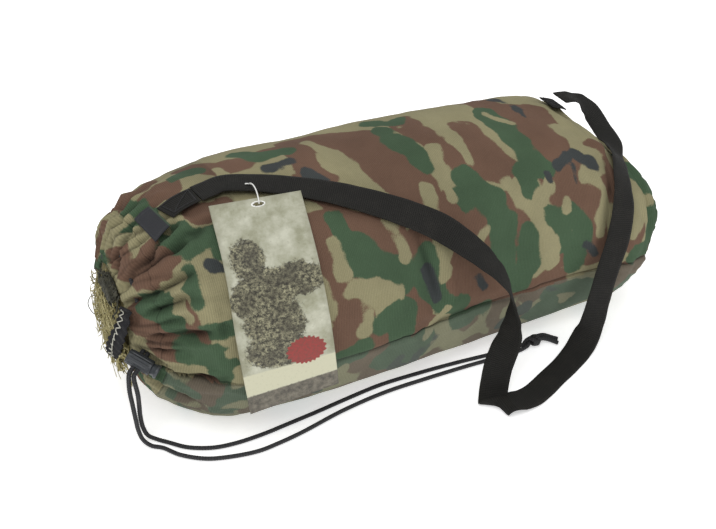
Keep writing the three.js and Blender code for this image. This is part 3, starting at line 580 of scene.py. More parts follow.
# seam round the bag between the two panels
seam_z = 66 + 2.2 * np.sin(X / 60.0) + np.where(flat[:, 1] < 0, 0, 1.0)
side = (np.abs(np.abs(((ang + math.pi / 2) % (2 * math.pi)) - math.pi) - math.pi / 2) < 1.2) & (np.abs(X) < 246)
seam_d = np.abs(flat[:, 2] - seam_z)
disp -= np.where(side, 1.5 * np.exp(-((seam_d / 1.5) ** 2)), 0)
disp += np.where(side, 0.6 * np.exp(-(((seam_d - 4.5) / 2.5) ** 2)), 0)
# stitched line of the hem
hem_line = np.exp(-(((X + 233) / 1.6) ** 2))
disp -= 1.1 * hem_line
disp = np.clip(disp, -7.6, 5.0)
# where webbing, label and card lie on the cloth it stays under them
LIES_ON = [
    (17, [(-209, -25, 178), (-190, -21, 184), (-166, -19, 188), (-153, -18, 190), (-133, -28, 190), (-108, -42, 189), (-83, -56, 186), (-62, -69, 182), (-41, -82, 176), (-19, -93, 167), (3, -102, 155), (18, -112, 146)]),
    (22, [(-209, -25, 177), (-223, -29, 168)]),
    (16, [(178, 20, 186), (196, 20, 184), (212, 20, 178)]), (17, [(180, -104, 90), (187, -97, 102), (193, -90, 121), (199, -78, 138), (208, -59, 148), (220, -33, 148), (234, -11, 147)]),
    (24, [(-170, -60, 186), (-174, -92, 166), (-176, -118, 125), (-172, -126, 80)]), (24, [(-140, -60, 186), (-146, -98, 166), (-147, -124, 120), (-144, -130, 80)]),
    (24, [(-112, -64, 186), (-118, -100, 166), (-118, -124, 120), (-112, -128, 80)]),
]
for reach, route in LIES_ON:
    near = segment_distance(flat, route)
    top_limit = 0.25 + np.clip((near - reach) / 5.0, 0, 1) * 4.5
    disp = np.minimum(disp, top_limit)
# the cord lock hangs against the hem and its button travels past it
lock_near = segment_distance(flat, [tuple(LOCK_C - LOCK_AXIS * 17), tuple(LOCK_C + LOCK_AXIS * 20)])
disp = np.minimum(disp, np.interp(lock_near, [9, 15], [-1.6, 5.0]))
disp = np.where(in_hem & (lock_near > 15), np.interp(X, [-251, -240], [0.3, 0.0]) * disp, disp)
pos = flat + nrm * disp[:, None]
# the cloth is kept off the floor: where it meets the ground it lies just above it with a slight ripple
pos[:, 2] = np.where(flat[:, 2] < 0.4, 0.35 + 0.25 * np.abs(np.sin(X / 9.0)), np.maximum(pos[:, 2], 0.4))

P0 = flat
wob = waves(P0, 11, 18, 20, 48, 2.6) + waves(P0, 12, 10, 9, 18, 0.7)
P1 = P0 + np.stack([waves(P0, 13 + k, 12, 60, 120, 4.0) for k in range(3)], 1)


def layer(strokes):
    d = np.full(len(P0), 60.0)
    for r, route in strokes:
        d = np.minimum(d, segment_distance(P1, route) - r)
    return d + wob


def scattered(seed, count, low, high, length):
    """Seeded blotches for the sides that the listed layout leaves free."""
    r = np.random.RandomState(seed)
    made = []
    back_a = math.radians(-25)
    seen_dir = V(math.sin(back_a) * math.cos(0.54), -math.cos(back_a) * math.cos(0.54), math.sin(0.54))
    while len(made) < count:
        i = r.randint(len(P0))
        if (nrm[i] @ seen_dir > -0.02 and P0[i][2] > 56) or in_hem[i]:
            continue
        p, route = P0[i], [tuple(P0[i])]
        d = unit(V(r.normal() * 0.6, r.normal(), r.normal()))
        for _ in range(r.randint(1, 4)):
            d = unit(d + 0.5 * r.normal(size=3))
            p = p + d * length
            x = float(np.clip(p[0], -247, 247))
            q = on_surface((x, p[1], p[2] + 1e-3), 0)
            if surface_normal(q) @ seen_dir > 0.0 and q[2] > 58:
                break
            p = q
            route.append(tuple(p))
        made.append((r.uniform(low, high), route))
    return made


ATTR = {
    "camo_brown": layer([(r + 8.0, q) for r, q in BROWN] + scattered(31, 62, 11, 21, 30)),
    "camo_green": layer([(r + 2.6, q) for r, q in GREEN] + scattered(32, 60, 10, 18, 30)),
    "camo_khaki": layer([(r + 0.8, q) for r, q in KHAKI] + scattered(33, 40, 5, 10, 30)),
    "camo_black": layer(BLACK + scattered(34, 22, 4, 8, 22)),
    "fold_shade": shade,
    "seam_line": np.where(side, np.exp(-((seam_d / 1.0) ** 2)), 0.0),
    "lower_panel": (np.where(flat[:, 2] < seam_z, 1.0, 0.0)),
}
arc = np.concatenate([np.zeros((NR, 1)), np.cumsum(np.linalg.norm(np.diff(np.concatenate([rest_grid, rest_grid[:, :1]], 1), axis=1), axis=2), axis=1)], 1)[:, :NU]
uv_grid = np.stack([arc * MM, rest_grid[:, :, 0] * MM], -1).reshape(-1, 2)
faces_by = {"bag_cloth_upper": [], "bag_cloth_lower": [], "mouth_hem": []}
hem_end = len(HEM_ROWS) + 11
zc = flat[:, 2].reshape(NR, NU)
for i in range(NR - 1):
    for j in range(NU):
        k = (j + 1) % NU
        q = (i * NU + j, i * NU + k, (i + 1) * NU + k, (i + 1) * NU + j)
        if i < hem_end:
            faces_by["mouth_hem"].append(q)
        elif zc[i, j] < 66:
            faces_by["bag_cloth_lower"].append(q)
        else:
            faces_by["bag_cloth_upper"].append(q)
tip_index = len(pos)
pos = np.concatenate([pos, [TIP + V(1.5, 0, 0)]])
uv_grid = np.concatenate([uv_grid, [[0.1, 0.25]]])
for key in ATTR:
    ATTR[key] = np.append(ATTR[key], ATTR[key][-1])
for j in range(NU):
    k = (j + 1) % NU
    name = "bag_cloth_lower" if zc[NR - 1, j] < 66 else "bag_cloth_upper"
    faces_by[name].append(((NR - 1) * NU + j, (NR - 1) * NU + k, tip_index))
cloth_pieces = {}
for name, fs in faces_by.items():
    used = np.unique(np.array([i for q in fs for i in q]))
    back = {int(o): n for n, o in enumerate(used)}
    cloth_pieces[name] = mesh(name, pos[used], [tuple(back[int(i)] for i in q) for q in fs], uv_grid[used], [(k, ATTR[k][used]) for k in ATTR])
    s = cloth_pieces[name].modifiers.new("thick", "SOLIDIFY")
    s.thickness, s.offset = 0.0009, -1.0
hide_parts("bag_upper_panel")
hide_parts("bag_lower_panel")
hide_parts("drawcord_channel")
for n, sl in (("bag_cloth_upper", "camouflage_fabric"), ("bag_cloth_lower", "camouflage_fabric_lower"), ("mouth_hem", "hem_fabric")):
    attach(cloth_pieces[n], "bag")

# ------------------------------------------------------------------ packed garments
def garment(name, node, x0, x1, z0, z1, seed, bulge=False):
    """A folded garment of yarn: lofted between two sections of the stuffing, roughened all over."""
    xs = np.linspace(x0, x1, max(int((x1 - x0) / 6), 6))
    n = 72
    a = np.arange(n) / n * 2 * np.pi
    inset = 11.0
    g = np.stack([surface(x, a, inset) for x in xs])
    g[..., 2] = np.clip(g[..., 2], z0, z1)
    pinch = np.clip(np.minimum(xs - x0, x1 - xs) / 9.0, 0, 1)[:, None, None] ** 0.5
    mid = g.mean(1, keepdims=True)
    g = mid + (g - mid) * (0.86 + 0.14 * pinch)
    pts = g.reshape(-1, 3)
    centre = np.repeat(mid, n, 1).reshape(-1, 3)
    out = pts - centre
    out /= np.linalg.norm(out, axis=1)[:, None] + 1e-9
    pts = pts + out * np.clip(waves(pts, seed, 20, 14, 40, 1.6), -3, 2)[:, None]
    pts[:, 2] = np.clip(pts[:, 2], max(z0, 3.5), z1)
    V_ = np.concatenate([pts, [mid[0, 0], mid[-1, 0]]])
    F = [(i * n + j, i * n + (j + 1) % n, (i + 1) * n + (j + 1) % n, (i + 1) * n + j) for i in range(len(xs) - 1) for j in range(n)]
    F += [(len(pts), (j + 1) % n, j) for j in range(n)]
    F += [(len(pts) + 1, (len(xs) - 1) * n + j, (len(xs) - 1) * n + (j + 1) % n) for j in range(n)]
    ob = mesh(name, V_, F)
    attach(ob, "bag"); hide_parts(node)
    return ob


garments = [garment("jacket_folded", "jacket", 26, 238, 3, 190, 41), garment("hood_folded", "hood", -74, 18, 99, 190, 42),
            garment("rifle_wrap_folded", "rifle_wrap", -74, 18, 3, 93, 43), garment("trousers_folded", "trousers", -229, -82, 3, 188, 44)]
# rounded plug of trouser cloth in the mouth
a = np.linspace(0, 2 * np.pi, 60, endpoint=False)
plug_rows = []
for t in np.linspace(0, math.pi / 2, 16):
    plug_rows.append(np.stack([np.full(60, -236 - 19 * math.cos(t) * 1.0), -5 + 45 * math.sin(t) * np.cos(a), 91 + 38 * math.sin(t) * np.sin(a)], -1))
plug = np.stack(plug_rows).reshape(-1, 3)
plug += np.stack([np.clip(waves(plug, 51, 18, 9, 26, 1.6), -3, 2.4), 0 * plug[:, 0], 0 * plug[:, 0]], -1)
plug_ob = mesh("trouser_cloth_in_mouth", plug, [(i * 60 + j, i * 60 + (j + 1) % 60, (i + 1) * 60 + (j + 1) % 60, (i + 1) * 60 + j) for i in range(15) for j in range(60)])
sol = plug_ob.modifiers.new("thick", "SOLIDIFY"); sol.thickness, sol.offset = 0.003, 1.0
plug_ob.parent = garments[3]


# ------------------------------------------------------------------ yarn, netting, waistband at the mouth
def strands(name, seed, count, start, length, curl, radius, droop, limit, sides=5):
    """Many thin curling fibres as one mesh."""
    r = np.random.RandomState(seed)
    VV, FF, TT, c = [], [], [], 0
    for _ in range(count):
        p, d = start(r)
        p, d = np.array(p, float), unit(np.array(d, float))
        n, step, pts = 11, r.uniform(*length) / 11, []
        axis = unit(r.normal(size=3))
        for i in range(n):
            pts.append(p.copy())
            d = unit(d + curl * np.cross(axis, d) * r.uniform(0.5, 1.3) + 0.35 * curl * r.normal(size=3) + V(0, 0, -droop))
            p = limit(p + d * step)
        path = np.array(pts)
        if np.min(np.linalg.norm(np.diff(path, axis=0), axis=1)) < 0.05:
            continue
        v, f, _ = tube_mesh(path, radius * r.uniform(0.7, 1.25), sides)
        VV.append(v); FF += [tuple(i + c for i in q) for q in f]; TT.append(np.full(len(v), r.uniform()))
        c += len(v)
    return mesh(name, np.concatenate(VV), FF, None, [("tone", np.concatenate(TT))])


def keep_front(p):
    """Fibres stay in front of the plug and the hem, and off the ground."""
    p = p.copy()
    p[0] = min(max(p[0], -259.5), -252.2)
    q = math.hypot((p[1] + 9) / 43, (p[2] - 88) / 38)
    if q > 1 and p[2] > 60:
        p[1], p[2] = -9 + (p[1] + 9) / q, 88 + (p[2] - 88) / q
    p[2] = max(p[2], 3.0)
    return p


def mouth_start(r):
    t, q = r.uniform(0, 2 * math.pi), math.sqrt(r.uniform(0, 1))
    return (-253.0 - 4 * r.uniform(), -8 + 36 * q * math.cos(t), 91 + 31 * q * math.sin(t)), (-0.12, 0.55 * r.normal() - 0.15, -1 + 0.6 * r.normal())


yarn = strands("yarn_in_mouth", 61, 760, mouth_start, (16, 44), 0.22, 0.34, 0.03, keep_front, 4)
hang = strands("yarn_hanging", 62, 46, lambda r: ((-254.5 - 2 * r.uniform(), -42 + 7 * r.normal(), 66 + 3 * r.normal()), (-0.2, 0.2 * r.normal(), -1)), (12, 24), 0.40, 0.55, 0.15, keep_front)
net = strands("netting_at_mouth", 63, 90, lambda r: ((-253.5 - 2 * r.uniform(), -24 + 9 * r.normal(), 123 + 3.4 * r.normal()), (-0.3, r.normal(), 0.5 * r.normal())), (16, 34), 0.5, 0.75, 0.06, keep_front)
for ob, node, sl in ((yarn, "yarn_tuft_mouth", "yarn"), (hang, "yarn_tuft_hanging", "yarn"), (net, "netting_tuft", "netting")):
    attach(ob, "bag"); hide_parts(node)


def stations(points, widths, width, count):
    rows = []
    n = len(points) - 1
    for i in range(count + 1):
        u = i / count
        s = min(u * n, n - 1e-9); j = int(s); k = s - j
        p = catmull(points, u)
        t = unit(catmull(points, min(u + 1e-4, 1)) - catmull(points, max(u - 1e-4, 0)))
        w = widths[j] * (1 - k * k * (3 - 2 * k)) + widths[j + 1] * k * k * (3 - 2 * k)
        w = unit(w - (w @ t) * t)
        nn = unit(np.cross(t, w))
        rows.append((p - w * width / 2, p + w * width / 2, nn, nn))
    return rows


wb_pts = [V(-252.6, -56, 119), V(-255.4, -58.5, 112), V(-258.6, -57, 101), V(-261.0, -51, 89), V(-262.0, -43, 77), V(-261.4, -35.5, 66), V(-259.4, -31, 58)]
wb_rows = stations(wb_pts, [unit(V(0.25, -0.93, 0.25))] * 7, 16.0, 60)
wb_rows = [(a_ + V(-1.2 * math.sin(i * 0.9), 0, 0), b_ + V(-0.9 * math.sin(i * 0.9 + 1.4), 0, 0), c_, d_) for i, (a_, b_, c_, d_) in enumerate(wb_rows)]
v, f, uv, _ = ribbon_mesh(wb_rows, 2.6, 10)
band = mesh("elastic_waistband", v, f, uv)
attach(band, "bag"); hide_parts("trouser_waistband")
zig = []
for i in range(2, 59):
    l, r_, n_, _n = wb_rows[i]
    t = 0.40 + 0.12 * (1, 0.33, -0.33, -1, -0.33, 0.33)[i % 6]
    n_ = n_ if n_[0] < 0 else -n_
    zig.append(l * (1 - t) + r_ * t + n_ * 1.9)
v, f, uv = tube_mesh(np.array(zig), 0.42, 6)
zig_ob = mesh("waistband_zigzag_thread", v, f, uv); zig_ob.parent = band
loop_path, _ = smooth_path([(-253.5, 26, 84), (-259.5, 35, 80), (-262.5, 36, 72), (-260, 29, 66), (-256.5, 22, 70), (-254, 20, 76)], 1.0)
v, f, uv = tube_mesh(loop_path, 0.42, 6)
loop_ob = mesh("loose_thread_loop", v, f, uv); loop_ob.parent = yarn

# ------------------------------------------------------------------ shoulder strap
WEB_W, WEB_T = 25.0, 1.6
LIFT = WEB_T / 2 + 0.9
on_bag = [on_surface(p, LIFT + l) for p, l in zip(
    [(-176.5, -20, 186), (-166, -19, 188), (-153.6, -18.4, 189.9), (-132.7, -27.6, 190.6), (-107.7, -41.8, 189),
     (-82.9, -56.4, 185.9), (-61.8, -69, 181.7), (-40.6, -81.6, 175.6), (-18.8, -93, 166.9), (2.8, -102, 155)],
    [0, 0, 0, 0, 0, 0.2, 0.4, 0.8, 1.5, 3])]
top1, widths1 = list(on_bag), []
for i in range(len(on_bag)):
    a_, b_ = on_bag[max(i - 1, 0)], on_bag[min(i + 1, len(on_bag) - 1)]
    widths1.append(unit(np.cross(surface_normal(on_bag[i]), unit(b_ - a_))))
FREE_1 = [
    ((18, -117, 146.5), (0.55, 0.62, 0.56)), ((33, -126, 133), (0.58, 0.7, 0.42)), ((46, -131, 118), (0.55, 0.82, 0.2)),
    ((55.5, -133.5, 101), (0.45, 0.89, 0.05)), ((60.3, -134.5, 84), (0.3, 0.95, 0)), ((61, -135.5, 68), (0, 1, 0)),
    ((57.6, -136.5, 53), (-0.35, 0.93, 0)), ((51, -138, 39.5), (-0.68, 0.73, 0.1)), ((45.6, -139.5, 26), (-0.85, 0.5, 0.1)),
    ((42.4, -141, 13), (-0.89, 0.45, 0)), ((39.7, -144, 5.2), (-0.89, 0.45, 0)), ((36.9, -148.2, 1.9), (-0.893, 0.45, 0)),
    ((34.25, -152.4, 1.2), (-0.893, 0.45, 0))]
for p, w in FREE_1:
    top1.append(V(*p)); widths1.append(unit(V(*w)))
FOLD_A, FOLD_P, FOLD_R, FOLD_0 = V(0.505, -0.863, 0), V(-0.863, -0.505, 0), 3.2, V(30.2, -160.4, 1.2)
ARM_1, ACROSS_1 = V(-0.45, -0.893, 0), V(-0.893, 0.45, 0)
fold_rows = []
for i in range(33):
    s = -9 + i
    row, ns = [], []
    for vv in (-WEB_W / 2, WEB_W / 2):
        fa, fp = s * (ARM_1 @ FOLD_A) + vv * (ACROSS_1 @ FOLD_A), s * (ARM_1 @ FOLD_P) + vv * (ACROSS_1 @ FOLD_P)
        phi = min(max(fp / FOLD_R, 0), math.pi)
        fl = fp if fp <= 0 else (-(fp - math.pi * FOLD_R) if fp >= math.pi * FOLD_R else FOLD_R * math.sin(phi))
        row.append(FOLD_0 + FOLD_A * fa + FOLD_P * fl + V(0, 0, FOLD_R * (1 - math.cos(phi))))
        ns.append(FOLD_P * math.sin(phi) + V(0, 0, -math.cos(phi)))
    fold_rows.append((*row, *ns))
f_last = fold_rows[-1]
top2, widths2 = [(f_last[0] + f_last[1]) / 2], [unit(f_last[1] - f_last[0])]
FREE_2 = [
    ((52.5, -165.6, 6.2), (0, 0.99, 0.1)), ((64, -162.5, 3.6), (-0.25, 0.96, 0.1)), ((79, -155.3, 1.8), (-0.45, 0.88, 0.03)), ((99, -143.8, 1.3), (-0.5, 0.86, 0)),
    ((120, -132.5, 1.4), (-0.5, 0.86, 0)), ((140, -120.5, 3.4), (-0.6, 0.8, 0.1)), ((152.5, -113.5, 10.5), (-0.82, 0.52, 0.22)), ((159.5, -111.8, 24), (-0.95, 0.2, 0.3)),
    ((164, -111.6, 42), (-0.96, 0.05, 0.26)), ((169, -110.8, 63), (-0.97, 0, 0.2)), ((178, -106.5, 84), (-0.97, 0, 0.2))]
for p, w in FREE_2:
    top2.append(V(*p)); widths2.append(unit(V(*w)))
on_base = [on_surface((x, y, z), l + WEB_T / 2) for x, y, z, l in
           [(187, -97, 102, 3), (192.5, -90, 121, 2.5), (199, -78, 138, 2.6), (208, -59, 148, 3), (220.5, -33, 148, 3.6)]]
for i in range(len(on_base)):
    a_, b_ = on_base[max(i - 1, 0)], on_base[min(i + 1, len(on_base) - 1)]
    top2.append(on_base[i]); widths2.append(unit(np.cross(surface_normal(on_base[i]), unit(b_ - a_))))
for p, w in [((230.5, -13, 149.8), (-0.85, 0.38, 0.28)), ((231.5, 3, 155.5), (-0.96, -0.27, 0.08)), ((227, 12.5, 166), (-0.88, -0.45, -0.13)),
             ((219, 17.5, 176), (-0.62, -0.76, -0.18)), ((210, 20, 182.5), (-0.12, -0.98, -0.05)), ((201.5, 20, 185.5), (0, -1, 0)), ((193.8, 20, 185.8), (0, -1, 0))]:
    top2.append(V(*p)); widths2.append(unit(V(*w)))
arm_a = stations(top1, widths1, WEB_W, 230)[:-1] + fold_rows[:14]
arm_b = fold_rows[14:-1] + stations(top2, widths2, WEB_W, 250)
arm_a.append(arm_b[0])


def soften(rows, seed, free_from, free_to):
    """Gentle waves along the free part of the webbing."""
    r = np.random.RandomState(seed)
    out = []
    for i, (a_, b_, c_, d_) in enumerate(rows):
        t = i / len(rows)
        k = 0.55 * math.sin(t * 37 + r.uniform(0, 0.02)) + 0.35 * math.sin(t * 83 + 1)
        g = 1.0 if free_from < t < free_to else 0.25
        out.append((a_ + c_ * k * g * 0.5 * (a_[2] > 4), b_ + d_ * k * g * 0.8 * (b_[2] > 4), c_, d_))
    return out


strap_pieces = []
for name, rows, ff in (("shoulder_strap_mouth_side", soften(arm_a, 71, 0.5, 0.9), 0), ("shoulder_strap_base_side", soften(arm_b, 72, 0.3, 0.7), 1)):
    v, f, uv, length = ribbon_mesh(rows, WEB_T, 10, edge=0.3)
    v[:, 2] = np.maximum(v[:, 2], 0.25)
    ob = mesh(name, v, f, uv)
    strap_pieces.append((ob, length))
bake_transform(strap_pieces[0][0])
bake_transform(strap_pieces[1][0])
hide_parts("shoulder_strap")

# sewn ends: a folded-under piece of webbing with box stitching in raised thread
thread_ob = []
for name, node, pts, w0 in (
        ("strap_end_at_mouth", "strap_mouth_end", [on_surface(p, LIFT - 0.2) for p in [(-205, -25.5, 179), (-195, -22.5, 182.5), (-185, -20.5, 185), (-177.3, -20, 186)]], V(0, 1, 0)),
        ("strap_end_at_base", "strap_base_end", [on_surface(p, LIFT + 0.1) for p in [(178.5, 20, 186), (184, 20, 185), (188, 20, 183.5), (192.8, 20, 182)]], V(0, -1, 0))):
    rows = stations(pts, [w0] * 4, WEB_W, 34)
    v, f, uv, _ = ribbon_mesh(rows, WEB_T * 0.95, 10, edge=0.3)
    ob = mesh(name, v, f, uv)
    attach(ob, "bag"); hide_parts(node)
    lo_i, hi_i = 4, 30
    corner = lambda i, t: rows[i][0] * (1 - t) + rows[i][1] * t + rows[i][2] * (WEB_T / 2 + 0.25) * (1 if rows[i][2][2] > 0 else -1)
    box_path = [corner(i, 0.12) for i in range(lo_i, hi_i)] + [corner(hi_i, t) for t in np.linspace(0.12, 0.88, 12)] + [corner(i, 0.88) for i in range(hi_i, lo_i, -1)] + \
               [corner(lo_i, t) for t in np.linspace(0.88, 0.12, 12)] + [corner(i, 0.12 + 0.76 * (i - lo_i) / (hi_i - lo_i)) for i in range(lo_i, hi_i)]
    bp = np.array(box_path)
    keep = np.append(True, np.linalg.norm(np.diff(bp, axis=0), axis=1) > 0.05)
    v, f, uv = tube_mesh(bp[keep], 0.32, 6, lambda s, a: 0.12 * np.sin(s * 2.4))
    th = mesh(name + "_stitching", v, f, uv); th.parent = ob
    thread_ob.append(th)

# ------------------------------------------------------------------ label
LB = [V(-211.4, -6.4, 177.2), V(-205.6, -42, 176.2)]
LF = [V(-225.5, -10.5, 170.2), V(-219.9, -47.5, 167.5)]
left = [on_surface(LB[0], 1.6), on_surface((LB[0] + LF[0]) / 2, 2.4), on_surface(LF[0], 2.6)]
right = [on_surface(LB[1], 1.8), on_surface((LB[1] + LF[1]) / 2, 2.6), on_surface(LF[1], 2.8)]


def panel(name, L, R, thickness, columns, rows_, hole=None, ripple=None):
    """A bent card or cloth between two edge curves, with uv 0..1 across and down."""
    S, T = np.linspace(0, 1, columns + 1), np.linspace(0, 1, rows_ + 1)
    P = np.array([[catmull(L, t) * (1 - s) + catmull(R, t) * s for s in S] for t in T])
    ds, dt = np.gradient(P, axis=1), np.gradient(P, axis=0)
    N = -np.cross(ds, dt)
    N /= np.linalg.norm(N, axis=2)[..., None]
    if ripple is not None:
        P = P + N * ripple(S[None, :], T[:, None])[..., None]
    m = columns + 1
    V_ = np.concatenate([(P + N * thickness / 2).reshape(-1, 3), (P - N * thickness / 2).reshape(-1, 3)])
    uv = np.stack(np.broadcast_arrays(S[None, :], T[:, None]), -1).reshape(-1, 2)
    o, F, gone = m * (rows_ + 1), [], set()
    for i in range(rows_):
        for j in range(columns):
            if hole and hole((S[j] + S[j + 1]) / 2, (T[i] + T[i + 1]) / 2):
                gone.add((i, j))
    solid_cell = lambda i, j: 0 <= i < rows_ and 0 <= j < columns and (i, j) not in gone
    for i in range(rows_):
        for j in range(columns):
            if (i, j) in gone:
                continue
            a_, b_, c_, d_ = i * m + j, i * m + j + 1, (i + 1) * m + j + 1, (i + 1) * m + j
            F.append((a_, b_, c_, d_)); F.append((o + a_, o + d_, o + c_, o + b_))
            for (ni, nj), (p, q) in (((i - 1, j), (b_, a_)), ((i + 1, j), (d_, c_)), ((i, j - 1), (a_, d_)), ((i, j + 1), (c_, b_))):
                if not solid_cell(ni, nj):
                    F.append((p, q, o + q, o + p))
    return mesh(name, V_, F, np.concatenate([uv, uv])), P, N


label, LP, LN = panel("woven_label_cloth", left, right, 0.8, 24, 14, ripple=lambda s, t: 0.35 * np.sin(s * 5 + 1) * t)
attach(label, "label"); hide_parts("woven_label")

# ------------------------------------------------------------------ card tag
TL = [V(-176.4, -49.3, 190.6), V(-184.4, -104.5, 160.5), V(-186.5, -129.5, 110), V(-180.3, -135.5, 45.4)]
TR = [V(-100.8, -58.5, 192.2), V(-109.2, -112.2, 159.6), V(-108.3, -134.0, 110.3), V(-103, -135.5, 52.3)]
slot_hole = lambda s, t: ((s - 0.517) / 0.060) ** 2 + ((t - 0.030) / 0.0105) ** 2 < 1
tag, TP, TN = panel("card_tag", TL, TR, 0.8, 100, 200, hole=slot_hole)
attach(tag, "tag"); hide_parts("hang_tag")
STRING_TOP = on_surface((-135.5, -31.5, 190), LIFT + WEB_T / 2 + 0.9)
spath, _ = smooth_path([STRING_TOP, (-135.6, -37, 196.2), (-136, -45, 198), (-136.6, -53, 196.4), (-137.1, -58.2, 191.2), (-137.2, -58.9, 188.6)], 0.8)
v, f, uv = tube_mesh(spath, 0.55, 10, lambda s, a: 0.05 * np.sin(s * 3))
string = mesh("tag_filament", v, f, uv)
barb, _ = smooth_path([STRING_TOP + V(-2.6, 1.2, 0.0), STRING_TOP + V(0, 0.1, 0.1), STRING_TOP + V(2.6, -1.2, -0.2)], 0.8)
v, f, uv = tube_mesh(barb, 0.6, 10)
barb_ob = mesh("tag_filament_bar", v, f, uv); barb_ob.parent = string
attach(string, "strap"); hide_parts("tag_string")

# ------------------------------------------------------------------ cords ride on the bag
for ob, path, length in cords:
    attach(ob, "bag")
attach(knot, "bag"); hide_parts("draw_cord_knot")
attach(ring_cord, "bag"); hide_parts("draw_cord_in_channel")
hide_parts("draw_cord_strand_a"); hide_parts("draw_cord_strand_b")


# ------------------------------------------------------------------ cord lock
def lathe(name, profile, sides, grooves=None):
    """Turned part about LOCK_AXIS: profile of (radius, height); grooves(a, z) changes the radius."""
    ax = LOCK_AXIS; xx = unit(np.cross(CORD_DIR, ax)); yy = np.cross(ax, xx)
    a = np.arange(sides) / sides * 2 * np.pi
    rows_ = []
    for r, z in profile:
        rr = r + (grooves(a, z) if grooves is not None and r > 3 else 0 * a)
        rows_.append(LOCK_C + ax * z + np.cos(a)[:, None] * rr[:, None] * xx + np.sin(a)[:, None] * rr[:, None] * yy)
    V_, n = np.concatenate(rows_), len(profile)
    F = [(i * sides + j, i * sides + (j + 1) % sides, (i + 1) * sides + (j + 1) % sides, (i + 1) * sides + j) for i in range(n - 1) for j in range(sides)]
    F.append(tuple(range(sides - 1, -1, -1))); F.append(tuple((n - 1) * sides + j for j in range(sides)))
    return V_, F


rib = lambda a, z: 0.32 * np.cos(a * 14) * (1 if -9.6 < z < 9.4 else 0.2)
prof = [(5.2, -11), (6.0, -10.8), (6.3, -10.2)] + [(6.2, z) for z in np.linspace(-9.6, 9.4, 14)] + [(6.45, 9.9), (6.45, 10.6), (6.1, 11)]
v, f = lathe("x", prof, 112, rib)
barrel = mesh("cord_lock_ribbed_barrel", v, f)
prof = [(4.6, 11.0), (4.9, 11.4), (4.9, 14.6), (5.7, 14.9), (5.9, 15.4), (5.9, 16.9), (5.4, 17.4), (4.2, 17.5), (3.9, 17.15), (2.0, 17.0)]
v, f = lathe("x", prof, 64)
plunger = mesh("cord_lock_press_button", v, f)
for o, node, body, sl in ((barrel, "cord_lock_barrel", "cord_lock", "lock_body_plastic"), (plunger, "cord_lock_plunger", "lock_plunger", "lock_plunger_plastic")):
    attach(o, body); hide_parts(node)


# ------------------------------------------------------------------ materials
class Nodes:
    def __init__(self, name):
        self.m = bpy.data.materials.new(name)
        self.m.use_nodes = True
        self.t = self.m.node_tree
        self.b = self.t.nodes["Principled BSDF"]

    def new(self, kind, **kw):
        n = self.t.nodes.new(kind)
        for k, v_ in kw.items():
            if k in n.inputs:
                n.inputs[k].default_value = v_
            else:
                setattr(n, k, v_)
        return n

    def link(self, a_, b_):
        self.t.links.new(a_, b_)

    def attr(self, name):
        return self.new("ShaderNodeAttribute", attribute_name=name).outputs["Fac"]

    def uv(self):
        return self.new("ShaderNodeUVMap", uv_map="UVMap").outputs["UV"]

    def obj(self):
        return self.new("ShaderNodeTexCoord").outputs["Object"]

    def math(self, op, a_, b_=None, c_=None, clamp=False):
        n = self.new("ShaderNodeMath", operation=op, use_clamp=clamp)
        for i, x in enumerate((a_, b_, c_)):
            if x is None:
                continue
            if isinstance(x, (int, float)):
                n.inputs[i].default_value = x
            else:
                self.link(x, n.inputs[i])
        return n.outputs[0]

    def xyz(self, vec):
        n = self.new("ShaderNodeSeparateXYZ"); self.link(vec, n.inputs[0])
        return n.outputs

    def noise(self, vec, scale, detail=4, rough=0.55):
        n = self.new("ShaderNodeTexNoise", Scale=scale, Detail=detail, Roughness=rough)
        self.link(vec, n.inputs["Vector"])
        return n.outputs["Fac"]

    def rng(self, x, a0, a1, b0=0.0, b1=1.0, smooth=False):
        n = self.new("ShaderNodeMapRange")
        n.interpolation_type = "SMOOTHSTEP" if smooth else "LINEAR"
        for i, q in ((1, a0), (2, a1), (3, b0), (4, b1)):
            n.inputs[i].default_value = q
        self.link(x, n.inputs[0])
        return n.outputs[0]

    def mix(self, f, a_, b_, mode="MIX"):
        n = self.new("ShaderNodeMix", data_type="RGBA", blend_type=mode)
        for i, x in ((0, f), (6, a_), (7, b_)):
            if isinstance(x, (int, float)):
                n.inputs[i].default_value = x
            elif isinstance(x, tuple):
                n.inputs[i].default_value = (*x, 1)
            else:
                self.link(x, n.inputs[i])
        return n.outputs[2]

    def bump(self, h, dist, strength=1.0):
        n = self.new("ShaderNodeBump", Strength=strength, Distance=dist)
        self.link(h, n.inputs["Height"]); self.link(n.outputs[0], self.b.inputs["Normal"])
        return n

    def color(self, c):
        if isinstance(c, tuple):
            self.b.inputs["Base Color"].default_value = (*c, 1)
        else:
            self.link(c, self.b.inputs["Base Color"])

    def rough(self, r):
        if isinstance(r, (int, float)):
            self.b.inputs["Roughness"].default_value = r
        else:
            self.link(r, self.b.inputs["Roughness"])


def lin(r, g, b_):
    f = lambda c: (c / 255 / 12.92) if c / 255 <= 0.04045 else ((c / 255 + 0.055) / 1.055) ** 2.4
    return (f(r), f(g), f(b_))


def use(ob, m):
    ob.data.materials.clear(); ob.data.materials.append(m)


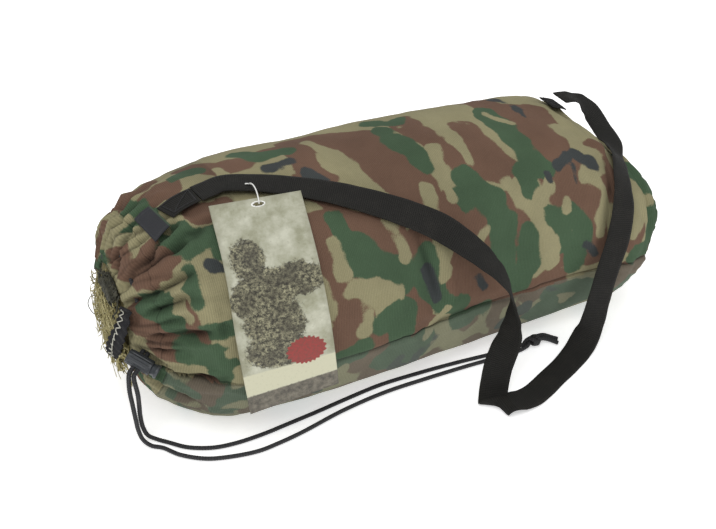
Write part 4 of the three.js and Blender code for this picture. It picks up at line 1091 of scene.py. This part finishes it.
def camo_material(name, pale):
    n = Nodes(name)
    uv = n.uv(); o = n.obj(); s = n.xyz(uv)
    wob_ = n.math("ADD", n.math("MULTIPLY", n.math("SUBTRACT", n.noise(o, 90, 3), 0.5), 5.0), n.math("MULTIPLY", n.math("SUBTRACT", n.noise(o, 900, 2), 0.5), 2.4))
    step = lambda a_: n.rng(n.math("ADD", n.attr(a_), wob_), 0.8, -0.8)
    col = lin(145, 139, 107)
    col = n.mix(step("camo_brown"), col, lin(109, 84, 69))
    col = n.mix(step("camo_green"), col, lin(70, 91, 68))
    col = n.mix(step("camo_khaki"), col, lin(147, 141, 109))
    col = n.mix(step("camo_black"), col, lin(62, 66, 66))
    # print fade, faint stain and the ribs of the weave
    fade = n.math("MULTIPLY", n.rng(n.noise(o, 22, 5), 0.3, 0.7, 0.88, 1.10), n.rng(n.noise(o, 7, 3), 0.35, 0.65, 0.88, 1.04))
    rib_ = n.math("SINE", n.math("MULTIPLY", s[1], 2 * math.pi / 0.0015))
    weft = n.math("SINE", n.math("MULTIPLY", s[0], 2 * math.pi / 0.0013))
    weave = n.math("MULTIPLY", rib_, n.rng(weft, -1, 1, 0.55, 1.0))
    tone = n.math("MULTIPLY", fade, n.rng(weave, -1, 1, 0.86, 1.08))
    fine = n.rng(n.noise(o, 1500, 2, 0.6), 0.3, 0.7, 0.90, 1.10)
    tone = n.math("MULTIPLY", tone, fine)
    if pale:
        col = n.mix(0.46, col, lin(104, 112, 101))
    shade_ = n.math("SUBTRACT", 1.0, n.math("MULTIPLY", n.attr("fold_shade"), 0.86))
    seam_ = n.math("SUBTRACT", 1.0, n.math("MULTIPLY", n.attr("seam_line"), 0.7))
    tone = n.math("MULTIPLY", tone, n.math("MULTIPLY", shade_, seam_))
    g = n.new("ShaderNodeCombineColor"); [n.link(tone, g.inputs[i]) for i in range(3)]
    n.color(n.mix(1.0, col, g.outputs[0], "MULTIPLY"))
    n.rough(0.93)
    n.b.inputs["Specular IOR Level"].default_value = 0.22
    h = n.math("ADD", n.math("MULTIPLY", weave, 0.5), n.math("MULTIPLY", n.noise(o, 260, 4), 1.6))
    n.bump(h, 0.00035, 0.7)
    return n.m


upper_m, lower_m, hem_m = camo_material("camo_upper", False), camo_material("camo_lower", True), camo_material("camo_hem", False)
use(cloth_pieces["bag_cloth_upper"], upper_m); use(cloth_pieces["bag_cloth_lower"], lower_m); use(cloth_pieces["mouth_hem"], hem_m)


def fibre_material(name, c1, c2, scale=220, rough=0.9):
    n = Nodes(name)
    o = n.obj()
    a_ = n.noise(o, scale, 4); b_ = n.noise(o, scale * 4, 3)
    n.color(n.mix(n.rng(a_, 0.35, 0.65), lin(*c1), n.mix(n.rng(b_, 0.3, 0.7), lin(*c2), lin(*c1))))
    n.rough(rough); n.bump(b_, 0.0004, 0.6)
    return n.m


def yarn_material():
    n = Nodes("straw_yarn")
    o = n.obj(); tone = n.attr("tone")
    ramp = n.mix(n.rng(tone, 0.0, 0.55), lin(96, 90, 54), lin(178, 168, 116))
    ramp = n.mix(n.rng(tone, 0.75, 1.0), ramp, lin(222, 214, 172))
    n.color(n.mix(n.rng(n.noise(o, 420, 4), 0.35, 0.7), ramp, lin(130, 120, 76)))
    n.rough(0.85); n.bump(n.noise(o, 1400, 2), 0.0003, 0.5)
    return n.m


yarn_m = yarn_material()
cloth_yarn = fibre_material("garment_yarn", (140, 128, 76), (78, 76, 44), 160)
net_m = fibre_material("dark_netting", (52, 52, 44), (92, 90, 72), 300)
use(yarn, yarn_m); use(hang, yarn_m); use(net, net_m); use(plug_ob, fibre_material("trouser_net_cloth", (112, 102, 62), (44, 44, 34), 130))
use(loop_ob, fibre_material("grey_thread", (120, 122, 116), (84, 86, 82), 200))
for g_ in garments:
    use(g_, cloth_yarn)


def webbing_material(name, base, light, rib_mm=1.7, twill=True):
    n = Nodes(name)
    uv = n.uv(); s = n.xyz(uv); o = n.obj()
    r_ = n.math("SINE", n.math("MULTIPLY", s[0], 2 * math.pi / (rib_mm * MM)))
    c_ = n.math("SINE", n.math("MULTIPLY", s[1], 2 * math.pi / 0.0021))
    w_ = n.math("ADD", n.math("MULTIPLY", r_, 0.6), n.math("MULTIPLY", n.math("MULTIPLY", r_, c_), 0.5))
    edge_ = n.rng(n.math("ABSOLUTE", n.math("SUBTRACT", s[1], 0.0125)), 0.0102, 0.0118, 0.0, 1.0)
    dust = n.rng(n.noise(o, 60, 5), 0.45, 0.8, 0.0, 0.35)
    col = n.mix(n.rng(w_, -1, 1, 0.0, 1.0), lin(*base), lin(*light))
    col = n.mix(n.math("MULTIPLY", edge_, 0.35), col, lin(*light))
    col = n.mix(n.math("MULTIPLY", dust, n.rng(n.noise(o, 900, 2), 0.4, 0.7)), col, lin(70, 67, 60))
    n.color(col); n.rough(0.86); n.b.inputs["Specular IOR Level"].default_value = 0.25
    n.bump(n.math("ADD", w_, n.math("MULTIPLY", n.noise(o, 1100, 2), 0.6)), 0.00035, 0.8)
    return n.m


web_m = webbing_material("black_webbing", (17, 17, 16), (41, 40, 37))
for ob, _ in strap_pieces:
    use(ob, web_m)
for nme in ("strap_end_at_mouth", "strap_end_at_base"):
    use(bpy.data.objects[nme], web_m)
thread_m = fibre_material("black_thread", (30, 30, 32), (58, 58, 60), 500, 0.7)
for o_ in thread_ob:
    use(o_, thread_m)
use(band, webbing_material("black_elastic", (20, 20, 22), (44, 44, 47), 1.1))
use(zig_ob, fibre_material("pale_zigzag_thread", (206, 204, 190), (160, 158, 146), 400, 0.7))


def cord_material():
    n = Nodes("black_braid")
    s = n.xyz(n.uv()); o = n.obj()
    a1 = n.math("SINE", n.math("ADD", n.math("MULTIPLY", s[0], 1350.0), n.math("MULTIPLY", s[1], 6 * math.pi)))
    a2 = n.math("SINE", n.math("SUBTRACT", n.math("MULTIPLY", s[0], 1350.0), n.math("MULTIPLY", s[1], 6 * math.pi)))
    w_ = n.math("MULTIPLY", a1, a2)
    n.color(n.mix(n.rng(w_, -1, 1), lin(20, 20, 22), lin(54, 54, 57)))
    n.rough(n.rng(n.noise(o, 300, 3), 0.3, 0.7, 0.62, 0.8)); n.bump(n.math("ADD", w_, n.noise(o, 2200, 2)), 0.0003, 0.6)
    return n.m


cord_m = cord_material()
for o_ in [c_[0] for c_ in cords] + [knot, ring_cord]:
    use(o_, cord_m)


def plastic(name, base, worn, rough):
    n = Nodes(name)
    o = n.obj()
    scuff = n.rng(n.noise(o, 700, 5, 0.7), 0.56, 0.72)
    n.color(n.mix(n.math("MULTIPLY", scuff, 0.5), lin(*base), lin(*worn)))
    n.rough(n.rng(n.noise(o, 240, 3), 0.3, 0.7, rough - 0.08, rough + 0.1)); n.bump(n.noise(o, 1600, 2), 0.0001, 0.4)
    return n.m


use(barrel, plastic("lock_body", (44, 48, 52), (96, 100, 104), 0.42))
use(plunger, plastic("lock_button", (58, 62, 66), (120, 124, 126), 0.34))
use(string, plastic("white_filament", (232, 232, 228), (206, 206, 200), 0.4)); use(barb_ob, string.data.materials[0])
n = Nodes("spring_wire")
n.color(n.mix(n.noise(n.obj(), 900, 3), lin(150, 150, 150), lin(200, 200, 198))); n.b.inputs["Metallic"].default_value = 1.0; n.rough(0.35)
use(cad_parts["cord_lock_spring"], n.m)

# label: black satin weave, pale stitched border, a plain green bar down its back edge
n = Nodes("label_weave")
s = n.xyz(n.uv()); o = n.obj()
line = n.math("SINE", n.math("MULTIPLY", s[1], 2 * math.pi * 34))
cross = n.math("SINE", n.math("MULTIPLY", s[0], 2 * math.pi * 60))
col = n.mix(n.rng(n.math("MULTIPLY", line, cross), -1, 1), lin(22, 23, 28), lin(40, 42, 48))
bd = n.math("MINIMUM", n.math("MINIMUM", s[0], n.math("SUBTRACT", 1.0, s[0])), n.math("MINIMUM", s[1], n.math("SUBTRACT", 1.0, s[1])))
ring_ = n.math("MULTIPLY", n.rng(n.math("ABSOLUTE", n.math("SUBTRACT", bd, 0.085)), 0.018, 0.006), n.rng(n.math("SINE", n.math("MULTIPLY", n.math("ADD", s[0], s[1]), 95.0)), -0.2, 0.2))
col = n.mix(n.math("MULTIPLY", ring_, 0.35), col, lin(70, 72, 78))
col = n.mix(n.rng(s[1], 0.10, 0.07), col, lin(58, 78, 56))
n.color(col); n.rough(0.7); n.bump(n.math("MULTIPLY", line, cross), 0.0002, 0.6)
use(label, n.m)

# card: aged parchment, a mass of foliage, a plain red badge, a pale band and a dark foot
n = Nodes("printed_card")
uv = n.uv(); s = n.xyz(uv); o = n.obj()
sx, sy = s[0], s[1]
st = n.new("ShaderNodeMapping"); st.inputs["Scale"].default_value = (1.0, 2.3, 1.0); n.link(uv, st.inputs["Vector"])
U = st.outputs[0]
age = n.noise(U, 3.2, 6, 0.62); speck = n.noise(U, 34, 5, 0.7); fine = n.noise(U, 90, 3, 0.7)
paper = n.mix(n.rng(age, 0.38, 0.64), lin(148, 148, 124), lin(194, 194, 176))
paper = n.mix(n.math("MULTIPLY", n.rng(speck, 0.58, 0.72), 0.5), paper, lin(120, 118, 96))
rim = n.math("MINIMUM", n.math("MINIMUM", sx, n.math("SUBTRACT", 1.0, sx)), n.math("MULTIPLY", n.math("MINIMUM", sy, n.math("SUBTRACT", 1.0, sy)), 2.3))
paper = n.mix(n.math("MULTIPLY", n.rng(n.math("ADD", rim, n.math("MULTIPLY", age, 0.12)), 0.14, 0.04), 0.55), paper, lin(128, 126, 104))


def blob(cx, cy, rx, ry):
    dx = n.math("DIVIDE", n.math("SUBTRACT", sx, cx), rx); dy = n.math("DIVIDE", n.math("SUBTRACT", sy, cy), ry)
    return n.math("SQRT", n.math("ADD", n.math("MULTIPLY", dx, dx), n.math("MULTIPLY", dy, dy)))


mass = None
for cx, cy, rx, ry in ((0.26, 0.29, 0.19, 0.10), (0.36, 0.45, 0.33, 0.12), (0.74, 0.41, 0.30, 0.085), (0.42, 0.60, 0.32, 0.17), (0.42, 0.73, 0.36, 0.085), (0.12, 0.48, 0.13, 0.07)):
    d_ = blob(cx, cy, rx, ry)
    mass = d_ if mass is None else n.math("MINIMUM", mass, d_)
rag = n.math("ADD", mass, n.math("MULTIPLY", n.math("SUBTRACT", n.noise(U, 13, 7, 0.8), 0.5), 1.3))
leaf = n.mix(n.rng(n.noise(U, 24, 7, 0.85), 0.44, 0.62), lin(34, 32, 25), lin(170, 166, 134))
leaf = n.mix(n.rng(n.noise(U, 5, 4), 0.44, 0.58), leaf, n.mix(0.62, leaf, lin(54, 50, 40)))
col = n.mix(n.rng(rag, 1.04, 0.92), paper, leaf)
band_ = n.math("ADD", sy, n.math("MULTIPLY", n.math("SUBTRACT", speck, 0.5), 0.012))
pale = n.mix(n.math("MULTIPLY", n.rng(speck, 0.55, 0.75), 0.4), lin(196, 194, 168), lin(150, 148, 122))
col = n.mix(n.math("MULTIPLY", n.rng(band_, 0.815, 0.821), n.rng(band_, 0.922, 0.916)), col, pale)
foot = n.mix(n.rng(n.noise(U, 14, 6, 0.7), 0.36, 0.66), lin(70, 66, 58), lin(122, 116, 102))
col = n.mix(n.rng(band_, 0.916, 0.922), col, foot)
bd_ = n.math("ADD", blob(0.70, 0.765, 0.215, 0.068), n.math("MULTIPLY", n.math("SINE", n.math("MULTIPLY", n.math("ARCTAN2", n.math("MULTIPLY", n.math("SUBTRACT", sy, 0.765), 2.3), n.math("SUBTRACT", sx, 0.70)), 21.0)), 0.055))
bd_ = n.math("ADD", bd_, n.math("MULTIPLY", n.math("SUBTRACT", fine, 0.5), 0.16))
red = n.mix(n.rng(speck, 0.40, 0.62), lin(148, 48, 44), lin(120, 58, 50))
col = n.mix(n.rng(bd_, 1.0, 0.95), col, red)
slot_ = blob(0.517, 0.030, 0.078, 0.0150)
col = n.mix(n.rng(slot_, 1.02, 0.96), col, lin(238, 238, 234))
n.color(col); n.rough(n.rng(speck, 0.3, 0.7, 0.5, 0.66)); n.bump(n.math("ADD", fine, n.math("MULTIPLY", age, 3.0)), 0.00012, 0.5)
use(tag, n.m)

# ------------------------------------------------------------------ studio
floor_v = []
N_ = 24
for i in range(N_ + 1):
    for j in range(N_ + 1):
        x, y = -4000 + 8000 * i / N_, -3000 + 8000 * j / N_
        z = -0.2 + (max(0.0, y - 2600) ** 2) / 2600.0
        floor_v.append((x, y, z))
floor = mesh("studio_floor", floor_v, [(i * (N_ + 1) + j, (i + 1) * (N_ + 1) + j, (i + 1) * (N_ + 1) + j + 1, i * (N_ + 1) + j + 1) for i in range(N_) for j in range(N_)])
n = Nodes("pale_floor")
n.color(n.mix(n.noise(n.obj(), 3, 2), lin(250, 250, 250), lin(253, 253, 253))); n.rough(0.9); n.b.inputs["Specular IOR Level"].default_value = 0.1
n.b.inputs["Emission Color"].default_value = (1, 1, 1, 1); n.b.inputs["Emission Strength"].default_value = 0.50
use(floor, n.m)
world = bpy.data.worlds.new("studio"); bpy.context.scene.world = world
world.use_nodes = True
world.node_tree.nodes["Background"].inputs[0].default_value = (1, 1, 1, 1)
world.node_tree.nodes["Background"].inputs[1].default_value = 0.42


def area(name, loc, target, size, power):
    l = bpy.data.lights.new(name, "AREA"); l.size = size; l.energy = power
    ob = bpy.data.objects.new(name, l); bpy.context.scene.collection.objects.link(ob)
    ob.location = loc; ob.rotation_mode = "QUATERNION"
    ob.rotation_quaternion = (Vector(target) - Vector(loc)).to_track_quat("-Z", "Y")
    return ob


area("key", (-0.9, -1.2, 1.9), (0, 0, 0.08), 1.3, 22)
area("fill", (1.5, -0.9, 1.2), (0, 0, 0.08), 1.6, 7)
area("top", (0.2, 0.6, 2.2), (0, 0, 0.08), 1.8, 12)
bpy.context.scene.view_settings.view_transform = "Standard"
